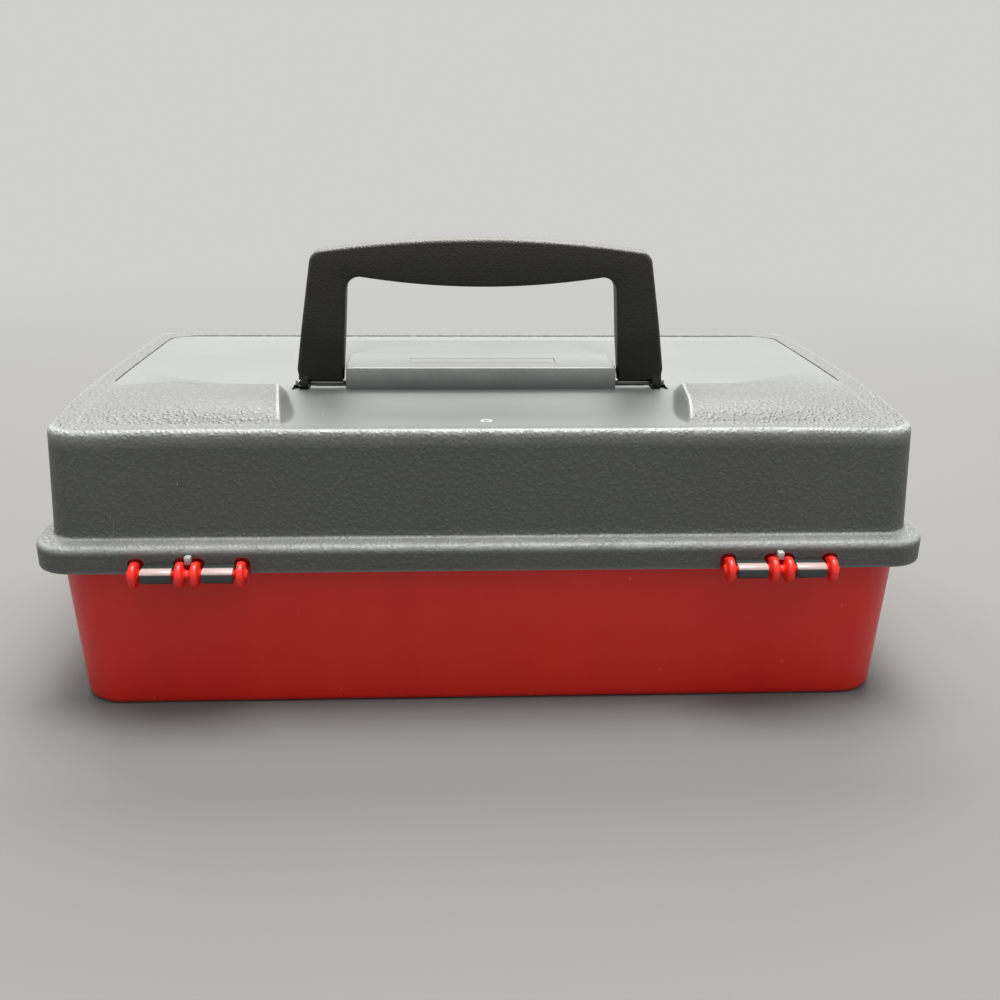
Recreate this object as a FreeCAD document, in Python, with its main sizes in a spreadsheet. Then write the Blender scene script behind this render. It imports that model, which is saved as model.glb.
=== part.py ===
import FreeCAD, Part
import math
import os
import Sketcher

# A hinged-lid tackle box: red tub, grey sculpted lid, folding handle, and two trays that
# ride up on parallel arms as the lid opens.
# Frame: +X to the right of the hinge side, -Y the hinge side, +Z up,
# origin at the centre of the underside. Millimetres.

sizes = {
    # Lid skirt and ledge
    "flange_length": 352, "flange_width": 205, "flange_corner": 16,
    "skirt_bottom": 62.3, "skirt_height": 10.2, "ledge_rise": 2.6, "skirt_depth": 8,
    # Lid walls and crown, heights above the ledge
    "lid_inset": 6.4, "lid_corner": 12, "lid_wall": 2.5, "lid_draft_run": 2.4, "lid_edge_round": 2.4,
    "rear_edge_rise": 41.9, "crest_rise": 46.3, "front_edge_rise": 40.6,
    "crest_from_rear": 50, "crown_end_from_rear": 88, "crown_end_rise": 44.3,
    "front_slope_rise": 42.3, "front_slope_width": 32,
    # Dished panel and the channel between the shoulders
    "panel_inset": 19, "panel_front_inset": 22, "panel_near_from_rear": 94.5, "panel_near_rise": 37.7,
    "panel_far_rise": 41.1, "panel_side_rise": 44, "panel_far_side_rise": 41.9,
    "floor_near_inset": 66, "floor_far_inset": 41, "barrel_run": 42, "barrel_inset": 72,
    "crease_round": 24, "panel_corner_room": 4,
    "channel_rear_half": 79.6, "channel_middle_half": 79, "channel_front_half": 91.2,
    # Platform between the handle's legs
    "platform_half": 60.5, "platform_from_rear": 88, "platform_flat": 30, "platform_run": 55,
    "platform_rise": 46.9, "platform_end_rise": 41.7, "platform_lean": 0.8, "platform_depth": 16,
    # Handle
    "handle_from_rear": 93, "handle_pivot_rise": 39.4, "ear_radius": 3.5, "ear_width": 4,
    "leg_clear": 1, "leg_outer_half": 82, "leg_bottom_up": 2,
    "leg_inner_top_half": 58.5, "handle_side_up": 58.6, "handle_top_up": 64.1, "handle_top_half": 73.6,
    "grip_under_up": 48.1, "grip_middle_up": 43.5, "loop_corner": 6, "top_corner": 6,
    "handle_thickness": 12, "leg_foot_thickness": 4.6, "leg_taper_height": 21, "handle_round": 1.6,
    "ear_inset": 0.4, "ear_neck": 5,
    "handle_pin_radius": 1.25, "handle_pin_clear": 0.1, "pin_seat_clear": 0.04, "pocket_outer_half": 84,
    "pocket_half_width": 5.2, "pocket_floor_clear": 0.6,
    # Base tub
    "base_bottom_inset": 9.1, "base_rim_inset": 6, "base_corner": 18, "base_wall": 2.5, "base_floor": 2.5,
    "rim_gap": 0.3, "skirt_gap": 0.6, "lip_height": 3.5, "base_round": 3, "foot_band": 14, "foot_recess": 0.8,
    "floor_round": 2,
    # Snap hinges
    "hinge_out": 3.5, "hinge_up": 1.2, "hinge_place": 114.5, "disc_radius": 5, "disc_width": 3,
    "disc_outer_place": 20.15, "disc_inner_place": 2.95, "rod_radius": 1.75, "lug_half_height": 3.4,
    "knuckle_length": 11.8, "knuckle_half": 3.2, "knuckle_bore": 2, "knuckle_round": 1.4, "snap_half": 1.45,
    "notch_half": 3.15, "notch_up": 7.1, "notch_round": 1.5,
    "nib_width": 2.2, "nib_clear": 3.8, "nib_height": 4.6, "nib_out": 2.6,
    # Latch
    "latch_out": 2.5, "latch_below_skirt": 8.3, "latch_pin_radius": 1.25, "latch_ear_radius": 2.4,
    "latch_ear_place": 5, "latch_ear_width": 3, "cheek_place": 9, "cheek_width": 3, "lever_half": 13,
    "lever_up": 4, "lever_down": 25, "lever_gap": 2.8, "lever_thickness": 3.2, "lever_curl": 3,
    "cheek_down": 10, "cheek_up": 3.4, "cheek_back": 3.2, "latch_clear": 0.1,
    "bail_radius": 1, "bail_half": 15, "bail_inboard": 1, "bail_drop": 7, "bail_bend": 2.4,
    "catch_half": 11, "catch_out": 3.5, "catch_height": 4, "catch_gap": 0.3, "bail_seat_up": 9,
    # Cantilever arms and links
    "arm_reach": 100, "lower_reach": 50, "arm_spacing": 40, "arm_rest_angle": 15, "arm_width": 9,
    "arm_thickness": 1.5, "pivot_from_hinge": 44.4, "pivot_below_rim": 14.9,
    "arm_clear": 0.3, "boss_stand": 1.7, "boss_radius": 4, "base_boss_radius": 6, "lid_boss_radius": 5.5,
    "rivet_radius": 1.5, "rivet_clear": 0.1, "head_radius": 3.4, "head_height": 0.7, "rivet_depth": 5,
    # Trays and dividers
    "tray_side_room": 10.1, "tray_front_room": 6.6, "tray_rear_room": 8.1, "tray_height": 25,
    "tray_wall": 1.8,
    "tray_corner": 5, "lower_pivot_height": 19.5, "upper_pivot_height": 5.6, "lane_width": 44,
    "divider_thickness": 1.2, "divider_clear": 0.25, "divider_height": 19, "divider_pitch": 44,
    "guide_width": 1.2, "guide_out": 1.4,
    # Cuts run past their solids by this much, and an edge to be rounded lies this near its place
    "overrun": 3, "spot_room": 0.1,
}

# How far a face or edge leans, as a share of straight up or straight along
lean_shares = {"none": 0.1, "slight": 0.3, "level": 0.7, "across": 0.9, "straight": 0.99}
counts = {"dividers": 6, "wire_sides": 8}

doc = FreeCAD.newDocument("TackleBox")
sheet = doc.addObject("Spreadsheet::Sheet", "Sizes")
for row, (alias, number) in enumerate(sizes.items(), start=1):
    sheet.set("A%d" % row, alias)
    sheet.set("B%d" % row, str(number))
    sheet.setAlias("B%d" % row, alias)
doc.recompute()


class Size:
    # A length that knows its value and the sheet expression that gives it.
    def __init__(self, value, text):
        self.value = value
        self.text = text

    def __add__(self, other):
        other = as_size(other)
        return Size(self.value + other.value, "(%s + %s)" % (self.text, other.text))

    def __sub__(self, other):
        other = as_size(other)
        return Size(self.value - other.value, "(%s - %s)" % (self.text, other.text))

    def __mul__(self, scale):
        scale = as_size(scale)
        return Size(self.value * scale.value, "(%s * %s)" % (self.text, scale.text))

    def __truediv__(self, scale):
        scale = as_size(scale)
        return Size(self.value / scale.value, "(%s / %s)" % (self.text, scale.text))

    def __neg__(self):
        return Size(-self.value, "(-1 * %s)" % self.text)

    __radd__ = __add__
    __rmul__ = __mul__


def as_size(number):
    return number if isinstance(number, Size) else Size(float(number), repr(number))


class Driving:
    # Reads a driving dimension of the sheet by its alias.
    def __getattr__(self, alias):
        return Size(float(sheet.get(alias)), "Sizes." + alias)


size = Driving()
zero = Size(0.0, "0")


def turned(angle, run, rise):
    # The point (run, rise) turned by an angle in degrees.
    radians = math.radians(angle.value)
    cosine = Size(math.cos(radians), "cos(%s * 1 deg)" % angle.text)
    sine = Size(math.sin(radians), "sin(%s * 1 deg)" % angle.text)
    return run * cosine - rise * sine, run * sine + rise * cosine


def slope(run, rise):
    return Size(math.degrees(math.atan2(run.value, rise.value)), "atan(%s / %s)" % (run.text, rise.text))


def bind(item, prop, number):
    item.setExpression(prop, as_size(number).text)


def new_body(name):
    body = doc.addObject("PartDesign::Body", name)
    body.Label = name
    return body


def new_sketch(body, name, plane, level=zero):
    # Level is the plane's place along the axis that it faces. The XZ plane faces -Y.
    sketch = body.newObject("Sketcher::SketchObject", name)
    origin = [item for item in body.Origin.OriginFeatures if item.Role == plane + "_Plane"][0]
    sketch.AttachmentSupport = [(origin, "")]
    sketch.MapMode = "FlatFace"
    bind(sketch, "AttachmentOffset.Base.z", -level if plane == "XZ" else level)
    return sketch


def tie(sketch, geometry, vertex, place):
    for kind, number in zip(("DistanceX", "DistanceY"), place):
        number = as_size(number)
        if number.value == 0:
            axis = -2 if kind == "DistanceX" else -1
            sketch.addConstraint(Sketcher.Constraint("PointOnObject", geometry, vertex, axis))
        else:
            index = sketch.addConstraint(
                Sketcher.Constraint(kind, -1, 1, geometry, vertex, number.value))
            sketch.setExpression("Constraints[%d]" % index, number.text)


def vector(place):
    return FreeCAD.Vector(as_size(place[0]).value, as_size(place[1]).value, 0)


def outline(sketch, points, closed=True):
    # A point is (across, up), or (across, up, through) for an arc that ends there.
    count = len(points)
    for number in range(count if closed else count - 1):
        start = points[number]
        end = points[(number + 1) % count]
        index = sketch.GeometryCount
        if len(end) == 3:
            through = vector(end[2])
            runs_on = (through - vector(start)).cross(vector(end) - through).z > 0
            tail, head = (start, end) if runs_on else (end, start)
            sketch.addGeometry(Part.Arc(vector(tail), through, vector(head)), False)
            mark = sketch.addGeometry(Part.Point(vector(end[2])), True)
            tie(sketch, mark, 1, end[2])
            sketch.addConstraint(Sketcher.Constraint("PointOnObject", mark, 1, index))
            tie(sketch, index, 1 if runs_on else 2, start[:2])
            tie(sketch, index, 2 if runs_on else 1, end[:2])
        else:
            sketch.addGeometry(Part.LineSegment(vector(start), vector(end)), False)
            tie(sketch, index, 1, start[:2])
            tie(sketch, index, 2, end[:2])


def circle(sketch, centre, radius):
    index = sketch.addGeometry(
        Part.Circle(vector(centre), FreeCAD.Vector(0, 0, 1), as_size(radius).value), False)
    tie(sketch, index, 3, centre)
    ring = sketch.addConstraint(Sketcher.Constraint("Radius", index, as_size(radius).value))
    sketch.setExpression("Constraints[%d]" % ring, as_size(radius).text)


def rounded_rectangle(low, high, corner):
    # Corners low and high are (across, up). The corner arcs pass through their 45 degree points.
    (left, bottom), (right, top) = low, high
    bulge = corner * (1 - math.sqrt(0.5))
    return [
        (left + corner, bottom, (left + bulge, bottom + bulge)), (right - corner, bottom),
        (right, bottom + corner, (right - bulge, bottom + bulge)), (right, top - corner),
        (right - corner, top, (right - bulge, top - bulge)), (left + corner, top),
        (left, top - corner, (left + bulge, top - bulge)), (left, bottom + corner)]


def centred(half_length, half_width, corner):
    return rounded_rectangle((-half_length, -half_width), (half_length, half_width), corner)


def pad(body, name, sketch, length, taper=None, both_ways=False, backwards=False):
    feature = body.newObject("PartDesign::Pad", name)
    feature.Profile = sketch
    bind(feature, "Length", length)
    feature.Midplane = both_ways
    feature.Reversed = backwards
    if taper is not None:
        bind(feature, "TaperAngle", taper)
    return feature


def pocket(body, name, sketch, length, taper=None, both_ways=False, backwards=False):
    feature = body.newObject("PartDesign::Pocket", name)
    feature.Profile = sketch
    bind(feature, "Length", length)
    feature.Midplane = both_ways
    feature.Reversed = backwards
    if taper is not None:
        bind(feature, "TaperAngle", taper)
    return feature


def loft(body, name, sections):
    feature = body.newObject("PartDesign::AdditiveLoft", name)
    feature.Profile = sections[0]
    feature.Sections = sections[1:]
    feature.Ruled = True
    return feature


def round_edges(body, name, base, radius, chosen):
    doc.recompute()
    names = ["Edge%d" % number for number, edge in enumerate(base.Shape.Edges, start=1)
             if chosen(edge, base.Shape)]
    if not names:
        raise RuntimeError(name + " found no edge to round")
    feature = body.newObject("PartDesign::Fillet", name)
    feature.Base = (base, names)
    bind(feature, "Radius", radius)
    return feature


def middle(edge):
    return edge.valueAt((edge.FirstParameter + edge.LastParameter) / 2)


def normals(edge, shape):
    # How far each face beside the edge faces up, from -1 to 1.
    ups = []
    for face in shape.ancestorsOfType(edge, Part.Face):
        across, along = face.Surface.parameter(middle(edge))
        ups.append(face.normalAt(across, along).z)
    return sorted(ups)


def box(name, low, high):
    item = doc.addObject("Part::Box", name)
    for prop, axis, start, end in zip(("Length", "Width", "Height"), "xyz", low, high):
        start = as_size(start)
        end = as_size(end)
        bind(item, prop, end - start)
        bind(item, "Placement.Base." + axis, start)
    return item


def rod(name, start, length, y, z, radius):
    # A round bar along +X.
    item = doc.addObject("Part::Cylinder", name)
    bind(item, "Radius", radius)
    bind(item, "Height", length)
    item.Placement = FreeCAD.Placement(FreeCAD.Vector(), FreeCAD.Rotation(FreeCAD.Vector(0, 1, 0), 90))
    bind(item, "Placement.Base.x", start)
    bind(item, "Placement.Base.y", y)
    bind(item, "Placement.Base.z", z)
    return item


def side_rod(name, sign, near, far, y, z, radius):
    # A round bar on one side of the box, from near to far of its middle plane.
    return rod(name, near if sign > 0 else -far, far - near, y, z, radius)


def side_box(name, sign, near, far, low, high):
    across = (near, far) if sign > 0 else (-far, -near)
    return box(name, (across[0],) + low, (across[1],) + high)


def fuse(name, items):
    item = doc.addObject("Part::MultiFuse", name)
    item.Shapes = items
    item.Refine = True
    item.Label = name
    return item


def cut(name, base, tools):
    item = doc.addObject("Part::Cut", name)
    item.Base = base
    item.Tool = tools[0] if len(tools) == 1 else fuse(name + "_tools", tools)
    item.Refine = True
    item.Label = name
    return item


# Places that several pieces share
half_length = size.flange_length / 2
half_width = size.flange_width / 2
ledge_top = size.skirt_bottom + size.skirt_height + size.ledge_rise
ledge_underside = size.skirt_bottom + size.skirt_depth
rim_top = ledge_underside - size.rim_gap
lid_half_length = half_length - size.lid_inset
lid_half_width = half_width - size.lid_inset
hinge_y = -half_width - size.hinge_out
hinge_z = size.skirt_bottom + size.hinge_up
handle_y = size.handle_from_rear - half_width
handle_z = ledge_top + size.handle_pivot_rise
latch_y = half_width + size.latch_out
latch_z = size.skirt_bottom - size.latch_below_skirt
bail_y = latch_y - size.bail_inboard
bail_low = latch_z - size.bail_drop
catch_top = size.skirt_bottom + size.bail_seat_up - size.bail_radius - size.catch_gap
tray_half_length = lid_half_length - size.lid_wall - size.tray_side_room
tray_front = lid_half_width - size.lid_wall - size.tray_front_room
arm_inner = tray_half_length + size.boss_stand + size.arm_clear
arm_outer = arm_inner + size.arm_thickness
link_inner = arm_outer + size.arm_clear + size.head_height + size.arm_clear
link_outer = link_inner + size.arm_thickness
rear_pivot_y = hinge_y + size.pivot_from_hinge
front_pivot_y = rear_pivot_y + size.arm_spacing
pivot_z = rim_top - size.pivot_below_rim
lower_run, lower_lift = turned(size.arm_rest_angle, size.lower_reach, zero)
upper_run, upper_lift = turned(size.arm_rest_angle, size.arm_reach, zero)
tray_rear = rear_pivot_y + lower_run - size.tray_rear_room
lid_pivot_y = hinge_y + upper_run
lid_pivot_z = hinge_z + upper_lift
rivet_bore = size.rivet_radius + size.rivet_clear
crown_top = ledge_top + size.crest_rise + size.overrun
sides = (("left", -1), ("right", 1))
base_draft = slope(size.base_bottom_inset - size.base_rim_inset, rim_top)
lid_draft = slope(size.lid_draft_run, size.rear_edge_rise)


# Lid: the outside form, and the same form set in by the wall for the inside

def lid_block(name, inset):
    body = new_body(name)
    length = half_length - inset
    width = half_width - inset
    hollow = inset.value > 0
    low = size.skirt_bottom - size.overrun if hollow else size.skirt_bottom
    high = ledge_underside if hollow else size.skirt_bottom + size.skirt_height
    skirt = new_sketch(body, name + "_skirt", "XY", low)
    outline(skirt, centred(length, width, size.flange_corner - inset))
    pad(body, name + "_skirt_pad", skirt, high - low)
    wall_low = high - size.overrun if hollow else ledge_top
    if not hollow:
        ledge_low = new_sketch(body, name + "_ledge_low", "XY", high)
        outline(ledge_low, centred(length, width, size.flange_corner))
        ledge_high = new_sketch(body, name + "_ledge_high", "XY", ledge_top)
        outline(ledge_high, centred(lid_half_length, lid_half_width, size.lid_corner))
        loft(body, name + "_ledge", [ledge_low, ledge_high])
    walls = new_sketch(body, name + "_walls", "XY", wall_low)
    outline(walls, centred(lid_half_length - inset, lid_half_width - inset, size.lid_corner - inset))
    pad(body, name + "_walls_pad", walls, crown_top - wall_low, taper=-lid_draft)

    # Crown seen from the side: a barrel at the hinge side, then a long fall to the front
    rear = size.lid_draft_run - lid_half_width
    crown = new_sketch(body, name + "_crown", "YZ")
    rear_level = ledge_top + size.rear_edge_rise - inset
    front_level = ledge_top + size.front_edge_rise - inset
    front_edge = -rear
    slope_start = front_edge - size.front_slope_width
    bend = size.front_slope_width / 2
    slope_level = ledge_top + size.front_slope_rise - inset
    outline(crown, [
        (-half_width - size.overrun, rear_level), (rear, rear_level),
        (size.crown_end_from_rear - half_width, ledge_top + size.crown_end_rise - inset,
         (size.crest_from_rear - half_width, ledge_top + size.crest_rise - inset)),
        (slope_start, slope_level),
        (front_edge, front_level, (slope_start + bend, (slope_level * 2 + front_level) / 3)),
        (half_width + size.overrun, front_level),
        (half_width + size.overrun, crown_top + size.overrun),
        (-half_width - size.overrun, crown_top + size.overrun)])
    last = pocket(body, name + "_crown_cut", crown, size.flange_length, both_ways=True)

    if not hollow:
        floor_level = ledge_top.value + size.rear_edge_rise.value / 2

        def top_edge(edge, shape):
            ups = normals(edge, shape)
            beside_wall = ups[0] < lean_shares["slight"] and ups[-1] > lean_shares["level"]
            return middle(edge).z > floor_level and beside_wall
        last = round_edges(body, name + "_edge_round", last, size.lid_edge_round, top_edge)

        def shoulder_edge(edge, shape):
            level = abs(middle(edge).z - ledge_top.value + size.ledge_rise.value) < size.spot_room.value
            return level and normals(edge, shape)[0] < lean_shares["none"]
        round_edges(body, name + "_ledge_round", last, size.ledge_rise / 2, shoulder_edge)
    return body


def panel_tool(name, inset):
    # The dish: a floor that falls towards the hinge side, ramps at both ends and a barrel behind
    body = new_body(name)
    near = size.panel_near_from_rear - half_width
    stations = (
        (near - size.barrel_run - inset, size.barrel_inset, size.crest_rise, size.crest_rise),
        (near, size.floor_near_inset, size.panel_near_rise, size.panel_side_rise),
        (half_width - size.panel_front_inset, size.floor_far_inset, size.panel_far_rise,
         size.panel_far_side_rise))
    side = half_length - size.panel_inset + inset
    for number in (0, 1):
        sections = []
        for place, floor_inset, floor_rise, side_rise in stations[number:number + 2]:
            section = new_sketch(body, "%s_section_%d_%d" % (name, number, len(sections)), "XZ", place)
            floor_half = half_length - floor_inset
            floor = ledge_top + floor_rise - inset
            bank = ledge_top + side_rise - inset
            outline(section, [
                (-side, bank), (-floor_half, floor), (floor_half, floor), (side, bank),
                (side, crown_top + size.overrun), (-side, crown_top + size.overrun)])
            sections.append(section)
        last = loft(body, "%s_loft_%d" % (name, number), sections)
    if inset.value == 0:
        crease_top = (ledge_top + size.panel_far_rise + size.spot_room).value
        bank_top = crease_top + size.panel_near_rise.value / 8

        def crease(edge, shape):
            spot = middle(edge)
            if abs(edge.tangentAt(edge.FirstParameter).x) > lean_shares["straight"]:
                return abs(spot.y - near.value) < size.spot_room.value and spot.z < crease_top
            return spot.z < bank_top and abs(spot.x) < (side - size.panel_corner_room).value
        round_edges(body, name + "_crease_round", last, size.crease_round, crease)
    return body


def channel_tool(name, inset):
    # Between the shoulders the top drops to a flat channel. Its side walls lean, and stand
    # furthest in at the crest, so that their upper edges run straight.
    body = new_body(name)
    near = size.panel_near_from_rear - half_width
    crest = size.crest_from_rear - half_width
    fall = (size.rear_edge_rise - size.panel_near_rise) / (size.panel_near_from_rear / size.crest_from_rear)
    stations = ((-half_width, size.channel_rear_half, size.rear_edge_rise),
                (crest, size.channel_middle_half, size.rear_edge_rise - fall),
                (near, size.channel_front_half, size.panel_near_rise))
    high = crown_top + size.overrun
    for number in (0, 1):
        sections = []
        for place, foot, rise in stations[number:number + 2]:
            section = new_sketch(body, "%s_section_%d_%d" % (name, number, len(sections)), "XZ", place)
            floor = ledge_top + rise - inset
            lean = high - floor
            outline(section, [
                (-foot - inset, floor), (foot + inset, floor),
                (foot + lean, high), (-foot - lean, high)])
            sections.append(section)
        loft(body, "%s_loft_%d" % (name, number), sections)
    return body


def platform(name, inset):
    body = new_body(name)
    near = size.platform_from_rear - half_width
    top = ledge_top + size.platform_rise - inset
    low = top - size.platform_depth + inset
    flat_end = near + size.platform_flat
    end = flat_end + size.platform_run
    section = new_sketch(body, name + "_section", "YZ")
    outline(section, [
        (near + inset, low), (near + inset + size.platform_lean, top), (flat_end, top),
        (end - inset, ledge_top + size.platform_end_rise - inset), (end - inset, low)])
    pad(body, name + "_pad", section, (size.platform_half - inset) * 2, both_ways=True)
    return body


def lid_form(name, inset):
    hollowed = cut(name + "_dished", lid_block(name + "_block", inset),
                   [panel_tool(name + "_panel", inset), channel_tool(name + "_channel", inset)])
    return fuse(name, [hollowed, platform(name + "_platform", inset)])


def handle_pockets(name, inset):
    floor = handle_z - size.ear_radius - size.pocket_floor_clear - inset
    return [side_box("%s_%s" % (name, side), sign, size.platform_half - inset,
                     size.pocket_outer_half + inset,
                     (handle_y - size.pocket_half_width - inset, floor),
                     (handle_y + size.pocket_half_width + inset, crown_top + size.overrun))
            for side, sign in sides]


def hinge_stations():
    # Each hinge's middle along X: its side, sign and place
    return [(side, sign, size.hinge_place * sign) for side, sign in sides]


def knuckle(name, start):
    # A square-backed snap knuckle, open below so that it clips on to the rod
    body = new_body(name)
    section = new_sketch(body, name + "_section", "YZ", start)
    half = size.knuckle_half
    root = size.hinge_out + size.lid_wall / 2
    lower = hinge_z - half
    upper = hinge_z + half
    corner = size.knuckle_round
    bulge = corner * (1 - math.sqrt(0.5))
    back = hinge_y - half
    outline(section, [
        (back + corner, lower, (back + bulge, lower + bulge)), (hinge_y + root, lower),
        (hinge_y + root, upper), (back + corner, upper),
        (back, upper - corner, (back + bulge, upper - bulge)), (back, lower + corner)])
    pad(body, name + "_pad", section, size.knuckle_length)
    bore = new_sketch(body, name + "_bore", "YZ", start)
    circle(bore, (hinge_y, hinge_z), size.knuckle_bore)
    pocket(body, name + "_bore_cut", bore, size.knuckle_length, backwards=True)
    snap = new_sketch(body, name + "_snap", "YZ", start)
    outline(snap, [(hinge_y - size.snap_half, lower - size.overrun),
                   (hinge_y + size.snap_half, lower - size.overrun),
                   (hinge_y + size.snap_half, hinge_z), (hinge_y - size.snap_half, hinge_z)])
    pocket(body, name + "_snap_cut", snap, size.knuckle_length, backwards=True)
    return body


def lid_shell():
    outside = cut("lid_outside", lid_form("lid_outer", zero), handle_pockets("handle_pocket", zero))
    inside = cut("lid_inside", lid_form("lid_inner", size.lid_wall),
                 handle_pockets("pocket_jacket", size.lid_wall))
    shell = cut("lid_hollow", outside, [inside])
    added = [shell]
    taken = []
    reach = (size.disc_outer_place + size.disc_inner_place) / 2
    for side, sign, place in hinge_stations():
        for row, offset in (("a", -1), ("b", 1)):
            start = place + reach * offset - size.knuckle_length / 2
            added.append(knuckle("knuckle_%s_%s" % (side, row), start))
        nib_low = hinge_z + size.nib_clear
        added.append(box("nib_" + side,
                         (place - size.nib_width / 2, -half_width - size.nib_out, nib_low),
                         (place + size.nib_width / 2, size.lid_wall / 2 - half_width,
                          nib_low + size.nib_height)))
        wide = size.disc_inner_place + size.notch_half
        for tag, low, high in (
                ("a", place - size.disc_outer_place - size.notch_half,
                 place - size.disc_outer_place + size.notch_half),
                ("b", place - wide, place + wide),
                ("c", place + size.disc_outer_place - size.notch_half,
                 place + size.disc_outer_place + size.notch_half)):
            taken.append(notch("notch_%s_%s" % (side, tag), low, high))
        taken.append(side_rod("handle_bore_" + side, sign, size.platform_half - size.lid_wall - size.overrun,
                              size.pocket_outer_half + size.lid_wall, handle_y, handle_z,
                              size.handle_pin_radius + size.pin_seat_clear))
        boss_in = link_outer + size.arm_clear
        boss_end = lid_half_length - size.lid_wall / 2
        added.append(side_rod("lid_boss_" + side, sign, boss_in, boss_end, lid_pivot_y, lid_pivot_z,
                              size.lid_boss_radius))
        taken.append(side_rod("lid_boss_bore_" + side, sign, boss_in - size.overrun,
                              boss_end - size.head_height, lid_pivot_y, lid_pivot_z,
                              size.rivet_radius + size.pin_seat_clear))
    catch_low = catch_top - size.catch_height
    added.append(box("catch", (-size.catch_half, half_width - size.lid_wall / 2, catch_low),
                     (size.catch_half, half_width + size.catch_out, catch_top)))
    return cut("lid_shell", fuse("lid_full", added), taken)


def notch(name, low, high):
    body = new_body(name)
    section = new_sketch(body, name + "_section", "XZ", -half_width + size.lid_wall + size.rim_gap / 2)
    top = size.skirt_bottom + size.notch_up + size.notch_round / 2
    under = size.skirt_bottom - size.overrun
    corner = size.notch_round
    bulge = corner * (1 - math.sqrt(0.5))
    outline(section, [
        (low, under), (high, under), (high, top - corner),
        (high - corner, top, (high - bulge, top - bulge)), (low + corner, top),
        (low, top - corner, (low + bulge, top - bulge))])
    pad(body, name + "_pad", section, size.lid_wall + size.overrun)
    return body


# Base tub

def tub():
    body = new_body("tub")
    bottom_half_length = half_length - size.base_bottom_inset
    bottom_half_width = half_width - size.base_bottom_inset
    ground = new_sketch(body, "tub_ground", "XY")
    outline(ground, centred(bottom_half_length, bottom_half_width, size.base_corner))
    walls = pad(body, "tub_walls", ground, rim_top, taper=base_draft)

    def ground_edge(edge, shape):
        return middle(edge).z < size.spot_room.value
    round_edges(body, "tub_round", walls, size.base_round, ground_edge)
    lip_inset = size.lid_wall + size.skirt_gap
    lip = new_sketch(body, "tub_lip", "XY", rim_top - size.lip_height)
    outline(lip, centred(half_length - lip_inset, half_width - lip_inset, size.flange_corner - lip_inset))
    pad(body, "tub_lip_pad", lip, size.lip_height)
    floor = new_sketch(body, "tub_floor", "XY", size.base_floor)
    outline(floor, centred(bottom_half_length - size.base_wall, bottom_half_width - size.base_wall,
                           size.base_corner - size.base_wall))
    hollow = pocket(body, "tub_hollow", floor, rim_top - size.base_floor + size.overrun, taper=base_draft,
                    backwards=True)

    def floor_edge(edge, shape):
        spot = middle(edge)
        inside = abs(spot.x) < bottom_half_length.value - size.base_wall.value / 2
        inside = inside and abs(spot.y) < bottom_half_width.value - size.base_wall.value / 2
        return inside and abs(spot.z - size.base_floor.value) < size.spot_room.value
    round_edges(body, "tub_floor_round", hollow, size.floor_round, floor_edge)
    recess = new_sketch(body, "tub_recess", "XY")
    outline(recess, centred(bottom_half_length - size.foot_band, bottom_half_width - size.foot_band,
                            size.base_corner - size.foot_band / 2))
    pocket(body, "tub_recess_cut", recess, size.foot_recess, backwards=True)
    return body


def base_tub():
    added = [tub()]
    taken = []
    wall_y = half_width - size.base_rim_inset - size.base_wall / 2
    for side, sign, place in hinge_stations():
        for number, offset in enumerate((-size.disc_outer_place, -size.disc_inner_place,
                                         size.disc_inner_place, size.disc_outer_place)):
            middle_x = place + offset
            start = middle_x - size.disc_width / 2
            tag = "%s_%d" % (side, number)
            added.append(rod("disc_" + tag, start, size.disc_width, hinge_y, hinge_z, size.disc_radius))
            added.append(box("lug_" + tag, (start, hinge_y, hinge_z - size.lug_half_height),
                             (start + size.disc_width, -wall_y, hinge_z + size.lug_half_height)))
        added.append(rod("hinge_rod_" + side, place - size.disc_outer_place, size.disc_outer_place * 2,
                         hinge_y, hinge_z, size.rod_radius))
        for row, pivot_y in (("front", front_pivot_y), ("rear", rear_pivot_y)):
            inner = arm_outer + size.arm_clear
            outer = half_length - size.base_rim_inset - size.base_wall / 2
            name = "%s_%s" % (row, side)
            added.append(side_rod("base_boss_" + name, sign, inner, outer, pivot_y, pivot_z,
                                  size.base_boss_radius))
            taken.append(side_rod("base_boss_bore_" + name, sign, inner - size.overrun,
                                  inner + size.rivet_depth, pivot_y, pivot_z,
                                  size.rivet_radius + size.pin_seat_clear))
        near = size.latch_ear_place
        far = near + size.latch_ear_width
        added.append(side_rod("latch_ear_" + side, sign, near, far, latch_y, latch_z, size.latch_ear_radius))
        added.append(side_box("latch_arm_" + side, sign, near, far,
                              (wall_y - size.base_wall / 2, latch_z - size.latch_ear_radius),
                              (latch_y, latch_z + size.latch_ear_radius)))
        taken.append(side_rod("latch_ear_bore_" + side, sign, near - size.overrun, far + size.overrun,
                              latch_y, latch_z, size.latch_pin_radius + size.pin_seat_clear))
    return cut("base_tub", fuse("base_full", added), taken)


# Handle

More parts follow.
